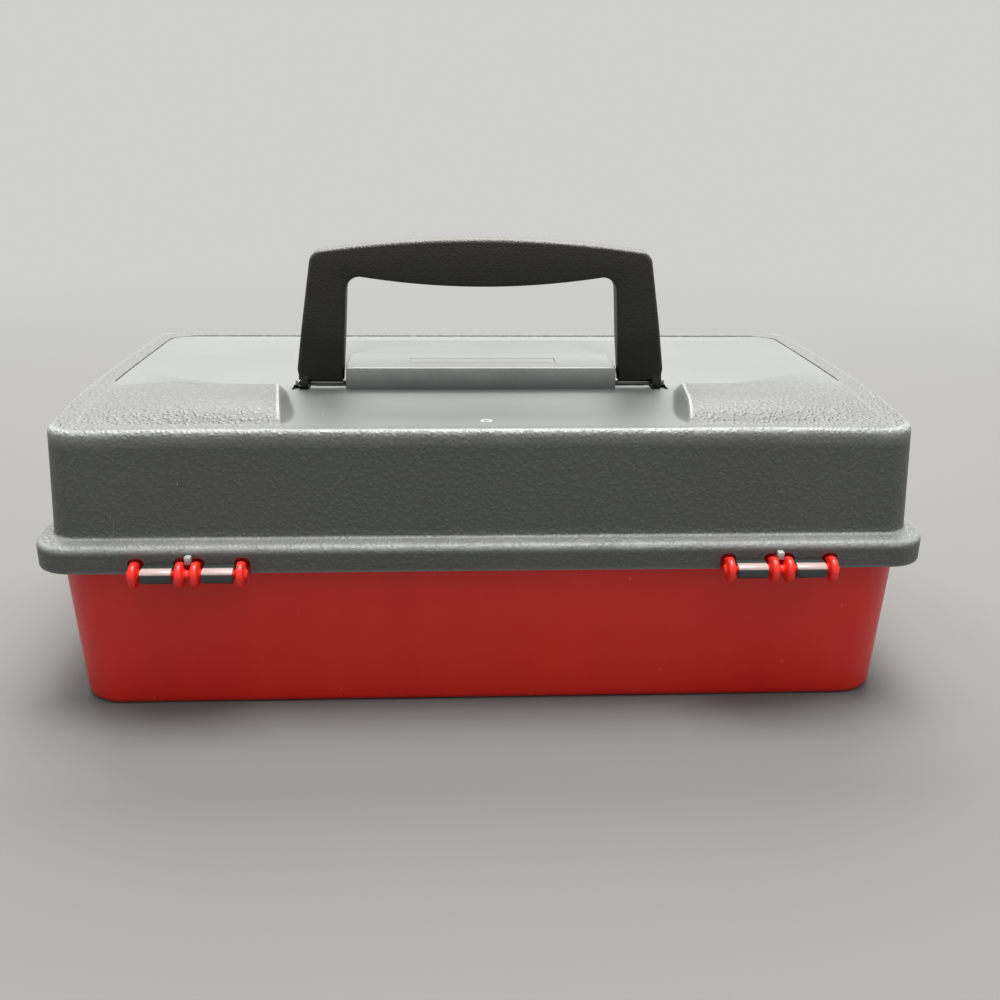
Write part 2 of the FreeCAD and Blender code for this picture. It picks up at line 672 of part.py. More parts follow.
def handle():
    body = new_body("handle_grip")
    foot = handle_z + size.leg_bottom_up
    inner = size.platform_half + size.leg_clear
    under = handle_z + size.grip_under_up
    section = new_sketch(body, "handle_section", "XZ", handle_y)
    outline(section, [
        (-size.leg_outer_half, foot), (-inner, foot), (-size.leg_inner_top_half, under),
        (size.leg_inner_top_half, under, (zero, handle_z + size.grip_middle_up)),
        (inner, foot), (size.leg_outer_half, foot), (size.handle_top_half, handle_z + size.handle_side_up),
        (-size.handle_top_half, handle_z + size.handle_side_up, (zero, handle_z + size.handle_top_up))])
    last = pad(body, "handle_pad", section, size.handle_thickness, both_ways=True)

    def corner(height, half):
        def chosen(edge, shape):
            spot = middle(edge)
            along = abs(edge.tangentAt(edge.FirstParameter).y) > lean_shares["straight"]
            level = abs(spot.z - height.value) < size.spot_room.value
            return along and level and abs(abs(spot.x) - half.value) < size.spot_room.value
        return chosen
    last = round_edges(body, "handle_loop_corners", last, size.loop_corner,
                       corner(under, size.leg_inner_top_half))
    last = round_edges(body, "handle_top_corners", last, size.top_corner,
                       corner(handle_z + size.handle_side_up, size.handle_top_half))

    def face_edge(edge, shape):
        beside = abs(edge.tangentAt(edge.FirstParameter).y) < lean_shares["across"]
        return beside and middle(edge).z > (foot + size.spot_room).value
    round_edges(body, "handle_rounding", last, size.handle_round, face_edge)
    thin = new_sketch(body, "handle_taper", "YZ")
    thick_half = size.handle_thickness / 2
    foot_half = size.leg_foot_thickness / 2
    for sign in (-1, 1):
        outline(thin, [
            (handle_y + foot_half * sign, foot), (handle_y + thick_half * sign, foot + size.leg_taper_height),
            (handle_y + (thick_half + size.overrun) * sign, foot + size.leg_taper_height),
            (handle_y + (thick_half + size.overrun) * sign, foot - size.overrun),
            (handle_y + foot_half * sign, foot - size.overrun)])
    pocket(body, "handle_taper_cut", thin, size.flange_length, both_ways=True)
    added = [body]
    taken = []
    for side, sign in sides:
        far = size.leg_outer_half - size.ear_inset
        near = far - size.ear_width
        added.append(side_rod("ear_" + side, sign, near, far, handle_y, handle_z, size.ear_radius))
        added.append(side_box("ear_neck_" + side, sign, near, far,
                              (handle_y - foot_half, handle_z),
                              (handle_y + foot_half, foot + size.ear_neck)))
        taken.append(side_rod("ear_bore_" + side, sign, near - size.overrun, far + size.overrun,
                              handle_y, handle_z, size.handle_pin_radius + size.handle_pin_clear))
    return cut("handle", fuse("handle_full", added), taken)


def handle_pin(side, sign):
    near = size.platform_half - size.lid_wall
    return side_rod("handle_pin_" + side, sign, near, size.pocket_outer_half + size.lid_wall / 2,
                    handle_y, handle_z, size.handle_pin_radius)


# Latch

def latch_lever():
    body = new_body("lever_plate")
    inner = latch_y + size.lever_gap
    outer = inner + size.lever_thickness
    low = latch_z - size.lever_down
    section = new_sketch(body, "lever_section", "YZ")
    high = latch_z + size.lever_up
    outline(section, [(inner, high), (outer, high), (outer, low + size.lever_curl),
                      (outer - size.lever_curl / 3, low), (inner, low)])
    pad(body, "lever_pad", section, size.lever_half * 2, both_ways=True)
    added = [body]
    taken = []
    for side, sign in sides:
        near = size.cheek_place
        far = near + size.cheek_width
        cheek = new_body("cheek_" + side)
        start = near if sign > 0 else -far
        form = new_sketch(cheek, "cheek_section_" + side, "YZ", start)
        outline(form, [
            (latch_y - size.cheek_back, latch_z - size.cheek_down), (outer, latch_z - size.cheek_down),
            (outer, latch_z + size.cheek_up), (latch_y, latch_z + size.cheek_up),
            (latch_y - size.cheek_back, latch_z)])
        pad(cheek, "cheek_pad_" + side, form, size.cheek_width)
        added.append(cheek)
        taken.append(side_rod("cheek_bore_" + side, sign, near - size.overrun / 2, far + size.overrun / 2,
                              latch_y, latch_z, size.latch_pin_radius + size.latch_clear))
        taken.append(side_rod("bail_bore_" + side, sign, near - size.overrun / 2, far + size.overrun / 2,
                              bail_y, bail_low, size.bail_radius + size.latch_clear))
    return cut("latch_lever", fuse("lever_full", added), taken)


def latch_bail():
    body = new_body("bail_bow")
    top = size.skirt_bottom + size.bail_seat_up
    path = new_sketch(body, "bail_path", "XZ", bail_y)
    end = size.cheek_place
    bend = size.bail_bend
    half = size.bail_half
    outline(path, [
        (-end, bail_low), (-half + bend, bail_low), (-half, bail_low + bend), (-half, top - bend),
        (-half + bend, top), (half - bend, top), (half, top - bend), (half, bail_low + bend),
        (half - bend, bail_low), (end, bail_low)], closed=False)
    wire = new_sketch(body, "bail_wire", "YZ", -end)
    round_points = []
    for corner in range(counts["wire_sides"]):
        out, up = turned(as_size(360 * (corner + 0.5) / counts["wire_sides"]), size.bail_radius, zero)
        round_points.append((bail_y + out, bail_low + up))
    outline(wire, round_points)
    pipe = body.newObject("PartDesign::AdditivePipe", "bail_pipe")
    pipe.Profile = wire
    pipe.Spine = path
    pipe.Transition = "Right corner"
    pivots = [side_rod("bail_pivot_" + side, sign, end, end + size.cheek_width, bail_y, bail_low,
                       size.bail_radius) for side, sign in sides]
    return fuse("latch_bail", [body] + pivots)


def latch_pin():
    end = size.cheek_place + size.cheek_width
    return rod("latch_pin", -end, end * 2, latch_y, latch_z, size.latch_pin_radius)


# Trays, arms, links and rivets

def tray(name, pivots, pivot_height, level):
    body = new_body(name + "_shell")
    ground = new_sketch(body, name + "_ground", "XY", level)
    outline(ground, rounded_rectangle((-tray_half_length, tray_rear), (tray_half_length, tray_front),
                                      size.tray_corner))
    pad(body, name + "_block", ground, size.tray_height)
    hollow = new_sketch(body, name + "_floor", "XY", level + size.tray_wall)
    lane = tray_front - size.lane_width
    inner = size.tray_wall
    corner = size.tray_corner - inner
    for low, high in ((tray_rear + inner, lane - inner / 2), (lane + inner / 2, tray_front - inner)):
        outline(hollow, rounded_rectangle((inner - tray_half_length, low), (tray_half_length - inner, high),
                                          corner))
    last = pocket(body, name + "_hollow", hollow, size.tray_height, backwards=True)

    # Guide ribs in pairs hold the removable dividers
    guides = new_sketch(body, name + "_guides", "XY", level + inner / 2)
    gap = size.divider_thickness / 2 + size.divider_clear
    spread = size.divider_pitch * (counts["dividers"] - 1)
    first = -spread / 2
    for wall, sign in ((lane + inner / 2, 1), (tray_front - inner, -1)):
        for edge in (-1, 1):
            low = first + gap * edge
            high = first + (gap + size.guide_width) * edge
            outline(guides, [(low, wall - inner * sign / 2), (high, wall - inner * sign / 2),
                             (high, wall + size.guide_out * sign), (low, wall + size.guide_out * sign)])
    ribs = pad(body, name + "_guide_pad", guides, size.divider_height)
    row = body.newObject("PartDesign::LinearPattern", name + "_guide_row")
    row.Originals = [ribs]
    row.Direction = (guides, ["H_Axis"])
    bind(row, "Length", spread)
    row.Occurrences = counts["dividers"]
    body.Tip = row

    # Three fixed ribs divide the rear lane
    fixed = new_sketch(body, name + "_fixed", "XY", level + inner / 2)
    for place in (-1, 0, 1):
        rib = size.divider_pitch * 2 * place
        outline(fixed, [(rib - inner / 2, tray_rear + inner / 2), (rib + inner / 2, tray_rear + inner / 2),
                        (rib + inner / 2, lane), (rib - inner / 2, lane)])
    ribbed = pad(body, name + "_fixed_pad", fixed, size.divider_height)
    body.Tip = ribbed
    added = [body]
    taken = []
    for side, sign in sides:
        for row_name, pivot_y in pivots:
            tag = "%s_%s_%s" % (name, row_name, side)
            pivot = level + pivot_height
            added.append(side_rod(tag + "_boss", sign, tray_half_length - inner / 2,
                                  tray_half_length + size.boss_stand, pivot_y, pivot, size.boss_radius))
            taken.append(side_rod(tag + "_bore", sign, tray_half_length - inner - size.overrun,
                                  tray_half_length + size.boss_stand + size.overrun, pivot_y, pivot,
                                  size.rivet_radius + size.pin_seat_clear))
    return cut(name, fuse(name + "_full", added), taken)


def divider(name, number, level):
    lane = tray_front - size.lane_width
    middle_x = size.divider_pitch * (number - (counts["dividers"] - 1) / 2)
    low = level + size.tray_wall
    half = size.divider_thickness / 2
    return box(name, (middle_x - half, lane + size.tray_wall / 2 + size.divider_clear, low),
               (middle_x + half, tray_front - size.tray_wall - size.divider_clear,
                low + size.divider_height))


def strip(name, bores, length, inner, place):
    # A flat steel strip along +Y with round ends and a bore at each pivot
    body = new_body(name)
    start = inner if place == 1 else -inner - size.arm_thickness
    form = new_sketch(body, name + "_form", "YZ", start)
    half = size.arm_width / 2
    outline(form, [(zero, -half, (-half, zero)), (length, -half),
                   (length, half, (length + half, zero)), (zero, half)])
    pad(body, name + "_pad", form, size.arm_thickness)
    holes = new_sketch(body, name + "_holes", "YZ", start)
    for bore in bores:
        circle(holes, (bore, zero), rivet_bore)
    pocket(body, name + "_bores", holes, size.arm_thickness, backwards=True)
    return body


def arm(name, sign, pivot_y):
    body = strip(name, (zero, size.lower_reach, size.arm_reach), size.arm_reach, arm_inner, sign)
    body.Placement = FreeCAD.Placement(
        FreeCAD.Vector(), FreeCAD.Rotation(FreeCAD.Vector(1, 0, 0), size.arm_rest_angle.value))
    bind(body, "Placement.Rotation.Angle", size.arm_rest_angle)
    bind(body, "Placement.Base.y", pivot_y)
    bind(body, "Placement.Base.z", pivot_z)
    return body


def lid_link(name, sign):
    # From the lid's boss forward to the rear arm's upper pivot
    run = size.pivot_from_hinge
    fall = hinge_z - pivot_z
    length = Size(math.hypot(run.value, fall.value), "sqrt(%s ^ 2 + %s ^ 2)" % (run.text, fall.text))
    body = strip(name, (zero, length), length, link_inner, sign)
    tilt = slope(fall, run)
    body.Placement = FreeCAD.Placement(
        FreeCAD.Vector(), FreeCAD.Rotation(FreeCAD.Vector(-1, 0, 0), tilt.value))
    bind(body, "Placement.Rotation.Angle", tilt)
    bind(body, "Placement.Base.y", lid_pivot_y)
    bind(body, "Placement.Base.z", lid_pivot_z)
    return body


def rivet(name, sign, near, far, y, z, near_head=True, far_head=True):
    # A shank with round heads beyond near and far
    added = [side_rod(name + "_shank", sign, near - size.head_height, far + size.head_height, y, z,
                      size.rivet_radius)]
    if near_head:
        added.append(side_rod(name + "_near", sign, near - size.head_height, near, y, z, size.head_radius))
    if far_head:
        added.append(side_rod(name + "_far", sign, far, far + size.head_height, y, z, size.head_radius))
    return fuse(name, added)


def group(name, items):
    item = doc.addObject("Part::Compound", name)
    item.Links = items
    item.Label = name
    return item


lower_level = pivot_z + lower_lift - size.lower_pivot_height
upper_level = pivot_z + upper_lift - size.upper_pivot_height
lower_pivots = (("front", front_pivot_y + lower_run), ("rear", rear_pivot_y + lower_run))
upper_pivots = (("front", front_pivot_y + upper_run), ("rear", rear_pivot_y + upper_run))
nodes = {
    "base_tub": base_tub(), "lid_shell": lid_shell(), "handle": handle(),
    "latch_lever": latch_lever(), "latch_bail": latch_bail(), "latch_pin": latch_pin(),
    "lower_tray": tray("lower_tray", lower_pivots, size.lower_pivot_height, lower_level),
    "upper_tray": tray("upper_tray", upper_pivots, size.upper_pivot_height, upper_level)}

for side, sign in sides:
    nodes["handle_pin_" + side] = handle_pin(side, sign)
    nodes["front_arm_" + side] = arm("front_arm_" + side, sign, front_pivot_y)
    nodes["rear_arm_" + side] = arm("rear_arm_" + side, sign, rear_pivot_y)
    nodes["lid_link_" + side] = lid_link("lid_link_" + side, sign)
    arm_far = arm_outer + size.arm_clear
    nodes["base_rivets_" + side] = group("base_rivets_" + side, [
        rivet("base_rivet_%s_%s" % (row, side), sign, arm_inner - size.arm_clear, arm_far + size.rivet_depth
              - size.head_height - size.arm_clear, pivot_y, pivot_z, far_head=False)
        for row, pivot_y in (("front", front_pivot_y), ("rear", rear_pivot_y))])
    tray_near = tray_half_length - size.tray_wall
    nodes["lower_rivets_" + side] = group("lower_rivets_" + side, [
        rivet("lower_rivet_%s_%s" % (row, side), sign, tray_near, arm_far,
              pivot_y + lower_run, pivot_z + lower_lift)
        for row, pivot_y in (("front", front_pivot_y), ("rear", rear_pivot_y))])
    nodes["upper_rivets_" + side] = group("upper_rivets_" + side, [
        rivet("upper_rivet_%s_%s" % (row, side), sign, tray_near, far,
              pivot_y + upper_run, pivot_z + upper_lift)
        for row, pivot_y, far in (("front", front_pivot_y, arm_far),
                                  ("rear", rear_pivot_y, link_outer + size.arm_clear))])
    nodes["lid_rivet_" + side] = rivet(
        "lid_rivet_" + side, sign, link_inner - size.arm_clear / 2, link_outer + size.arm_clear
        + size.head_height, lid_pivot_y, lid_pivot_z, far_head=False)

for number in range(counts["dividers"]):
    for row, level in (("lower", lower_level), ("upper", upper_level)):
        name = "%s_divider_%d" % (row, number + 1)
        nodes[name] = divider(name, number, level)

doc.recompute()
failed = [item.Name for item in doc.Objects if "Invalid" in item.State or "Error" in item.State]
if failed:
    raise RuntimeError("failed: " + ", ".join(failed))
os.makedirs("parts", exist_ok=True)
for name, item in nodes.items():
    item.Label = name
    shape = item.Shape
    if shape.isNull() or not shape.isValid():
        raise RuntimeError(name + " has no valid shape")
    box_now = shape.BoundBox
    print("%-20s solids %d volume %.1f  x %.1f..%.1f y %.1f..%.1f z %.1f..%.1f" % (
        name, len(shape.Solids), shape.Volume, box_now.XMin, box_now.XMax, box_now.YMin, box_now.YMax,
        box_now.ZMin, box_now.ZMax))
    shape.exportStep("parts/%s.step" % name)
print("wrote", len(nodes), "parts")
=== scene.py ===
import math
from functools import partial

import bmesh
import bpy
import numpy as np
from mathutils import Matrix, Vector


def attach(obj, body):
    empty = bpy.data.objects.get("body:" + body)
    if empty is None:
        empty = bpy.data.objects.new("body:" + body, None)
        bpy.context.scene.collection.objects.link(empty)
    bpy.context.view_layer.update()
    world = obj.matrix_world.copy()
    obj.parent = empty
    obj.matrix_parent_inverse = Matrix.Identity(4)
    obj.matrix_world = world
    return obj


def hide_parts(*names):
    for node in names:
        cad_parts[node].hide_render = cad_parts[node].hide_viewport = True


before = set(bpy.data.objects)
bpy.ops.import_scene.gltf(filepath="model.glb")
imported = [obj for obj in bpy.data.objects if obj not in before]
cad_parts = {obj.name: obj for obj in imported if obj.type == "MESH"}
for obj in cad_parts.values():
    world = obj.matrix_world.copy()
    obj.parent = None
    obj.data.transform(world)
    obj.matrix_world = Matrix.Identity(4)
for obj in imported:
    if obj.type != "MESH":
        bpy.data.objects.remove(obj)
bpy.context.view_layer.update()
mm = 0.001
print("frame loaded:", len(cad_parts), "nodes")

# Lengths below are in millimetres. Back is a distance forward from the hinge side's flange face.
halfLength = 176.0
halfWidth = 102.5


# Small tools

def linearColour(hexText):
    # sRGB hex to linear
    shares = [int(hexText[place:place + 2], 16) / 255 for place in (1, 3, 5)]
    return tuple(s / 12.92 if s <= 0.04045 else ((s + 0.055) / 1.055) ** 2.4 for s in shares) + (1,)


def feed(node, links):
    # Sets inputs: a node or socket is linked, a hex text is a colour, the rest are plain values
    for key, value in links.items():
        socket = node.inputs[key]
        if isinstance(value, bpy.types.Node):
            value = next(output for output in value.outputs if output.enabled)
        if isinstance(value, bpy.types.NodeSocket):
            node.id_data.links.new(value, socket)
        else:
            socket.default_value = linearColour(value) if isinstance(value, str) else value


def addNode(tree, kind, links=None, **settings):
    # Adds a node, its kind without the tree's own prefix. Settings are the node's properties, and
    # stops are a ramp's (place, level).
    node = tree.nodes.new(kind if kind.startswith("NodeGroup") else tree.bl_idname[:-4] + kind)
    for name, value in settings.items():
        if name == "stops":
            for element, (place, level) in zip(node.color_ramp.elements, value):
                element.position = place
                element.color = (level, level, level, 1)
        else:
            setattr(node, name, value)
    feed(node, links or {})
    return node


def meshObject(name, points, faces, scale=mm):
    mesh = bpy.data.meshes.new(name)
    mesh.from_pydata([tuple(c * scale for c in p) for p in points], [], faces)
    mesh.update()
    made = bpy.data.objects.new(name, mesh)
    bpy.context.scene.collection.objects.link(made)
    return made


def smoothShaded(made, angle):
    # Edges sharper than the angle, in degrees, stay sharp
    for face in made.data.polygons:
        face.use_smooth = True
    made.data.set_sharp_from_angle(angle=math.radians(angle))
    return made


def outwards(made, mergeAt=0.0):
    # Turns every face outwards, after points nearer than mergeAt are made one
    work = bmesh.new()
    work.from_mesh(made.data)
    if mergeAt:
        bmesh.ops.remove_doubles(work, verts=work.verts, dist=mergeAt * mm)
    bmesh.ops.recalc_face_normals(work, faces=work.faces)
    work.to_mesh(made.data)
    work.free()
    return made


def ringFaces(first, second, count):
    # Quads between two rings of points, given where each ring starts
    afters = [(number + 1) % count for number in range(count)]
    return [(first + number, first + after, second + after, second + number)
            for number, after in enumerate(afters)]


def span(sign, near, far):
    # Low and high end of a stretch on one side of the middle
    return sorted((sign * near, sign * far))


def arc(centreX, centreY, radius, start, sweep, steps):
    # Points of an arc, its angles in degrees
    angles = [math.radians(start + sweep * step / steps) for step in range(steps + 1)]
    return [(centreX + radius * math.cos(angle), centreY + radius * math.sin(angle)) for angle in angles]


def roundedRing(halfX, halfY, corner, z, cornerSteps, sideSteps=1, centre=(0, 0)):
    # A level rectangle with round corners, its straight sides cut into sideSteps
    points = []
    for quarter, (signX, signY) in enumerate(((1, -1), (1, 1), (-1, 1), (-1, -1))):
        points += [(x, y, z) for x, y in arc(centre[0] + signX * (halfX - corner),
                                             centre[1] + signY * (halfY - corner),
                                             corner, -90 + quarter * 90, 90, cornerSteps)]
    filled = []
    for number, point in enumerate(points):
        after = points[(number + 1) % len(points)]
        filled.append(point)
        if sideSteps > 1 and number % (cornerSteps + 1) == cornerSteps:
            for step in range(1, sideSteps):
                share = step / sideSteps
                filled.append(tuple(a + (b - a) * share for a, b in zip(point, after)))
    return filled


def stackedRings(name, rings):
    # Joins rings of equal count into a closed skin with a cap at each end
    count = len(rings[0])
    points = [point for ring in rings for point in ring]
    faces = []
    for number in range(len(rings) - 1):
        faces += ringFaces(number * count, (number + 1) * count, count)
    faces.append(tuple(reversed(range(count))))
    faces.append(tuple(range((len(rings) - 1) * count, len(rings) * count)))
    return outwards(meshObject(name, points, faces))


def lathed(profile, steps):
    # Points (along, radius) turned about the x axis, closed where the radius is zero
    points = []
    faces = []
    rings = []
    for along, radius in profile:
        if radius < 1e-6:
            rings.append((len(points), 1))
            points.append((along, 0, 0))
        else:
            rings.append((len(points), steps))
            for step in range(steps):
                angle = 2 * math.pi * step / steps
                points.append((along, radius * math.cos(angle), radius * math.sin(angle)))
    for (first, firstCount), (second, secondCount) in zip(rings, rings[1:]):
        if firstCount == secondCount == steps:
            faces += ringFaces(first, second, steps)
        elif firstCount == 1 and secondCount == steps:
            faces += [(first, second + (s + 1) % steps, second + s) for s in range(steps)]
        elif secondCount == 1 and firstCount == steps:
            faces += [(second, first + s, first + (s + 1) % steps) for s in range(steps)]
    return points, faces


def turned(name, profile, steps, place, sign=1):
    # A lathed piece set at a place, mirrored in x where the sign is -1
    points, faces = lathed(profile, steps)
    x, y, z = place
    return outwards(meshObject(name, [(p[0] * sign + x, p[1] + y, p[2] + z) for p in points], faces))


def merged(name, objects):
    # Joins objects into the first, which takes the name
    for made in bpy.context.selected_objects:
        made.select_set(False)
    with bpy.context.temp_override(active_object=objects[0], selected_editable_objects=objects,
                                   selected_objects=objects, object=objects[0]):
        bpy.ops.object.join()
    objects[0].name = name
    objects[0].data.name = name
    return objects[0]


def applied(made):
    # Turns a piece with live modifiers into a plain mesh
    bpy.context.view_layer.update()
    graph = bpy.context.evaluated_depsgraph_get()
    mesh = bpy.data.meshes.new_from_object(made.evaluated_get(graph))
    mesh.name = made.name
    made.modifiers.clear()
    made.data = mesh
    return made


def bevelled(made, width, segments, angle=40):
    bevel = made.modifiers.new("edges", "BEVEL")
    bevel.width = width * mm
    bevel.segments = segments
    bevel.limit_method = "ANGLE"
    bevel.angle_limit = math.radians(angle)
    bevel.harden_normals = False
    return applied(made)


def cutOut(made, tools):
    # Takes the tools' shapes out of a piece and drops the tools
    for tool in tools:
        step = made.modifiers.new("cut", "BOOLEAN")
        step.operation = "DIFFERENCE"
        step.solver = "EXACT"
        step.object = tool
    applied(made)
    for tool in tools:
        bpy.data.objects.remove(tool)
    return made


def boxObject(name, low, high):
    points = [(x, y, z) for x in (low[0], high[0]) for y in (low[1], high[1]) for z in (low[2], high[2])]
    faces = [(0, 1, 3, 2), (4, 6, 7, 5), (0, 4, 5, 1), (2, 3, 7, 6), (0, 2, 6, 4), (1, 5, 7, 3)]
    return outwards(meshObject(name, points, faces))


def extruded(name, outline, low, high, axis="x"):
    # A flat outline of (a, b) drawn out along an axis
    def place(a, b, c):
        return (c, a, b) if axis == "x" else (a, c, b)
    count = len(outline)
    points = [place(a, b, low) for a, b in outline] + [place(a, b, high) for a, b in outline]
    faces = ringFaces(0, count, count)
    faces += [tuple(reversed(range(count))), tuple(range(count, 2 * count))]
    return outwards(meshObject(name, points, faces))


def dress(made, material, body, nodes=()):
    made.data.materials.clear()
    made.data.materials.append(material)
    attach(made, body)
    if nodes:
        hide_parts(*nodes)
    return made


def finished(name, parts, angle, material, body, nodes=()):
    # Joins, shades and dresses the parts of a piece
    return dress(smoothShaded(merged(name, parts), angle), material, body, nodes)


def setValues(made, name, values):
    # A value for each point, read by the piece's material
    layer = made.data.attributes.new(name, "FLOAT", "POINT")
    layer.data.foreach_set("value", np.array(values, np.float32))


# Materials

def newMaterial(name, *grains):
    # A material with a noise node for each (blob size in millimetres, detail, roughness)
    material = bpy.data.materials.new(name)
    material.use_nodes = True
    add = partial(addNode, material.node_tree)
    where = add("TexCoord").outputs["Object"]
    noises = [add("TexNoise", {"Vector": where, "Scale": 500 / size, "Detail": detail, "Roughness": rough})
              for size, detail, rough in grains]
    return material, add, material.node_tree.nodes["Principled BSDF"], where, *noises


# Polypropylene, the plastic of every moulded piece here
plasticIndex = 1.49


def moulded(name, colours, roughness, peelHeight):
    # Plain moulded plastic: fine orange peel, slow colour drift, a few rubbed patches. The
    # colours are the body's own, that of its rubs and that of its drift.
    colour, rubColour, driftColour = colours
    material, add, shader, _, drift, rub, peel = newMaterial(
        name, (60, 2.0, 0.5), (14, 5.0, 0.65), (0.7, 3.0, 0.55))
    drifted = add("ValToRGB", {"Fac": drift}, stops=((0.35, 0.0), (0.65, 1.0)))
    tone = add("Mix", {0: drifted, 6: driftColour, 7: colour}, data_type="RGBA")
    rubbed = add("ValToRGB", {"Fac": rub}, stops=((0.62, 0.0), (0.78, 0.5)))
    worn = add("Mix", {0: rubbed, 6: tone, 7: rubColour}, data_type="RGBA")
    gloss = add("Mix", {0: rub, 2: roughness - 0.06, 3: roughness + 0.08})
    bump = add("Bump", {"Height": peel, "Distance": peelHeight * mm, "Strength": 1.0})
    feed(shader, {"Base Color": worn, "Roughness": gloss, "Normal": bump, "IOR": plasticIndex})
    return material


def lidPlasticMaterial():
    # Grey moulded polypropylene. Its mould was etched with a leather grain on walls, rim and
    # shoulders and polished to a satin on the panel, channel and platform.
    material, add, shader, where, fine, drift, patches, smudge, peel = newMaterial(
        "lidPolypropyleneLeatherGrain",
        (0.8, 4.0, 0.65), (45, 3.0, 0.5), (9, 5.0, 0.7), (18, 4.0, 0.6), (0.5, 3.0, 0.6))
    grainShare = add("Attribute", attribute_name="grain").outputs["Fac"]
    # The wear attribute is partly rubbed wear and partly a painted highlight on edges and crest lines
    wearAndHighlightShare = add("Attribute", attribute_name="wear").outputs["Fac"]
    # Irregular wrinkled cells about 1.8 mm across, soft creases between them
    warp = add("TexNoise", {"Vector": where, "Scale": 230.0, "Detail": 3.0})
    shift = add("VectorMath", {0: warp.outputs["Color"], 1: (3.2 * mm, 3.2 * mm, 3.2 * mm), 2: where},
                operation="MULTIPLY_ADD")
    cells = add("TexVoronoi", {"Vector": shift, "Scale": 560.0, "Smoothness": 0.35}, feature="SMOOTH_F1")
    pads = add("MapRange", {"Value": cells, "From Min": 0.62, "From Max": 0.1},
               interpolation_type="SMOOTHSTEP")
    raised = add("Math", {0: pads, 1: 0.8}, operation="MULTIPLY")
    height = add("Math", {0: fine, 1: 0.7, 2: raised}, operation="MULTIPLY_ADD")
    drifted = add("ValToRGB", {"Fac": drift}, stops=((0.3, 0.0), (0.7, 1.0)))
    tone = add("Mix", {0: drifted, 6: "#484b4a", 7: "#525554"}, data_type="RGBA")
    padShare = add("Math", {0: pads, 1: 0.6}, operation="MULTIPLY")
    grained = add("Mix", {0: padShare, 6: "#424442", 7: "#4f5150"}, data_type="RGBA")
    base = add("Mix", {0: grainShare, 6: tone, 7: grained}, data_type="RGBA")
    # Rubbed edges and rises of the grain are paler, and the same pale colour paints a highlight along the
    # rim's bead, the ledge, the crest lines and the platform's edge
    patchy = add("ValToRGB", {"Fac": patches}, stops=((0.3, 0.6), (0.7, 1.0)))
    rub = add("Math", {0: wearAndHighlightShare, 1: patchy}, operation="MULTIPLY")
    rubAndHighlightShare = add("Math", {0: rub, 1: 0.75}, operation="MULTIPLY", use_clamp=True)
    worn = add("Mix", {0: rubAndHighlightShare, 6: base, 7: "#a8aaa9"}, data_type="RGBA")
    # Dust flecks
    dots = add("TexVoronoi", {"Vector": where, "Scale": 48.0}, feature="F1")
    fleck = add("ValToRGB", {"Fac": dots}, stops=((0.012, 1.0), (0.022, 0.0)))
    fleckShare = add("Math", {0: fleck, 1: 0.5}, operation="MULTIPLY")
    dusty = add("Mix", {0: fleckShare, 6: worn, 7: "#c9c8c2"}, data_type="RGBA")
    satin = add("Mix", {0: smudge, 2: 0.42, 3: 0.52})
    matt = add("Mix", {0: pads, 2: 0.5, 3: 0.38})
    gloss = add("Mix", {0: grainShare, 2: satin, 3: matt})
    low = add("Bump", {"Height": peel, "Distance": 0.035 * mm, "Strength": 1.0})
    grain = add("Bump", {"Height": height, "Distance": 0.28 * mm, "Strength": grainShare, "Normal": low})
    feed(shader, {"Base Color": dusty, "Roughness": gloss, "Normal": grain, "IOR": plasticIndex})
    return material


def handlePlasticMaterial():
    # Black glass-filled polypropylene, spark-eroded mould: a fine pebble grain about 0.5 mm
    material, add, shader, where, drift, patches = newMaterial(
        "handlePolypropylenePebble", (25, 4.0, 0.6), (5, 4.0, 0.7))
    pebble = add("TexVoronoi", {"Vector": where, "Scale": 950.0, "Smoothness": 0.3}, feature="SMOOTH_F1")
    tone = add("Mix", {0: drift, 6: "#100f0e", 7: "#1a1716"}, data_type="RGBA")
    # Pale edges: rubbed wear and a painted highlight along the grip's top edges
    wearAndHighlightShare = add("Attribute", attribute_name="wear").outputs["Fac"]
    rub = add("Math", {0: wearAndHighlightShare, 1: patches}, operation="MULTIPLY")
    worn = add("Mix", {0: rub, 6: tone, 7: "#4a4745"}, data_type="RGBA")
    gloss = add("Mix", {0: drift, 2: 0.42, 3: 0.58})
    bump = add("Bump", {"Height": pebble, "Distance": 0.22 * mm, "Strength": 0.8})
    feed(shader, {"Base Color": worn, "Roughness": gloss, "Normal": bump, "IOR": plasticIndex})
    return material


def tubPlasticMaterial():
    # Red moulded polypropylene, satin: a faint orange peel, flow streaks up the walls, pale flecks
    material, add, shader, where, streak, drift, peel = newMaterial(
        "tubPolypropyleneSatin", (9, 4.0, 0.6), (70, 2.0, 0.5), (0.8, 2.0, 0.5))
    feed(streak, {"Vector": add("Mapping", {"Vector": where, "Scale": (1.0, 1.0, 0.16)})})
    tone = add("Mix", {0: drift, 6: "#bb1208", 7: "#cd190b"}, data_type="RGBA")
    streaky = add("ValToRGB", {"Fac": streak}, stops=((0.3, 0.0), (0.75, 0.35)))
    streaked = add("Mix", {0: streaky, 6: tone, 7: "#d62413"}, data_type="RGBA")
    dots = add("TexVoronoi", {"Vector": where, "Scale": 75.0}, feature="F1")
    fleck = add("ValToRGB", {"Fac": dots}, stops=((0.02, 0.5), (0.05, 0.0)))
    flecked = add("Mix", {0: fleck, 6: streaked, 7: "#e0766a"}, data_type="RGBA")
    gloss = add("Mix", {0: streak, 2: 0.33, 3: 0.46})
    bump = add("Bump", {"Height": peel, "Distance": 0.03 * mm, "Strength": 0.7})
    feed(shader, {"Base Color": flecked, "Roughness": gloss, "Normal": bump, "IOR": plasticIndex})
    return material


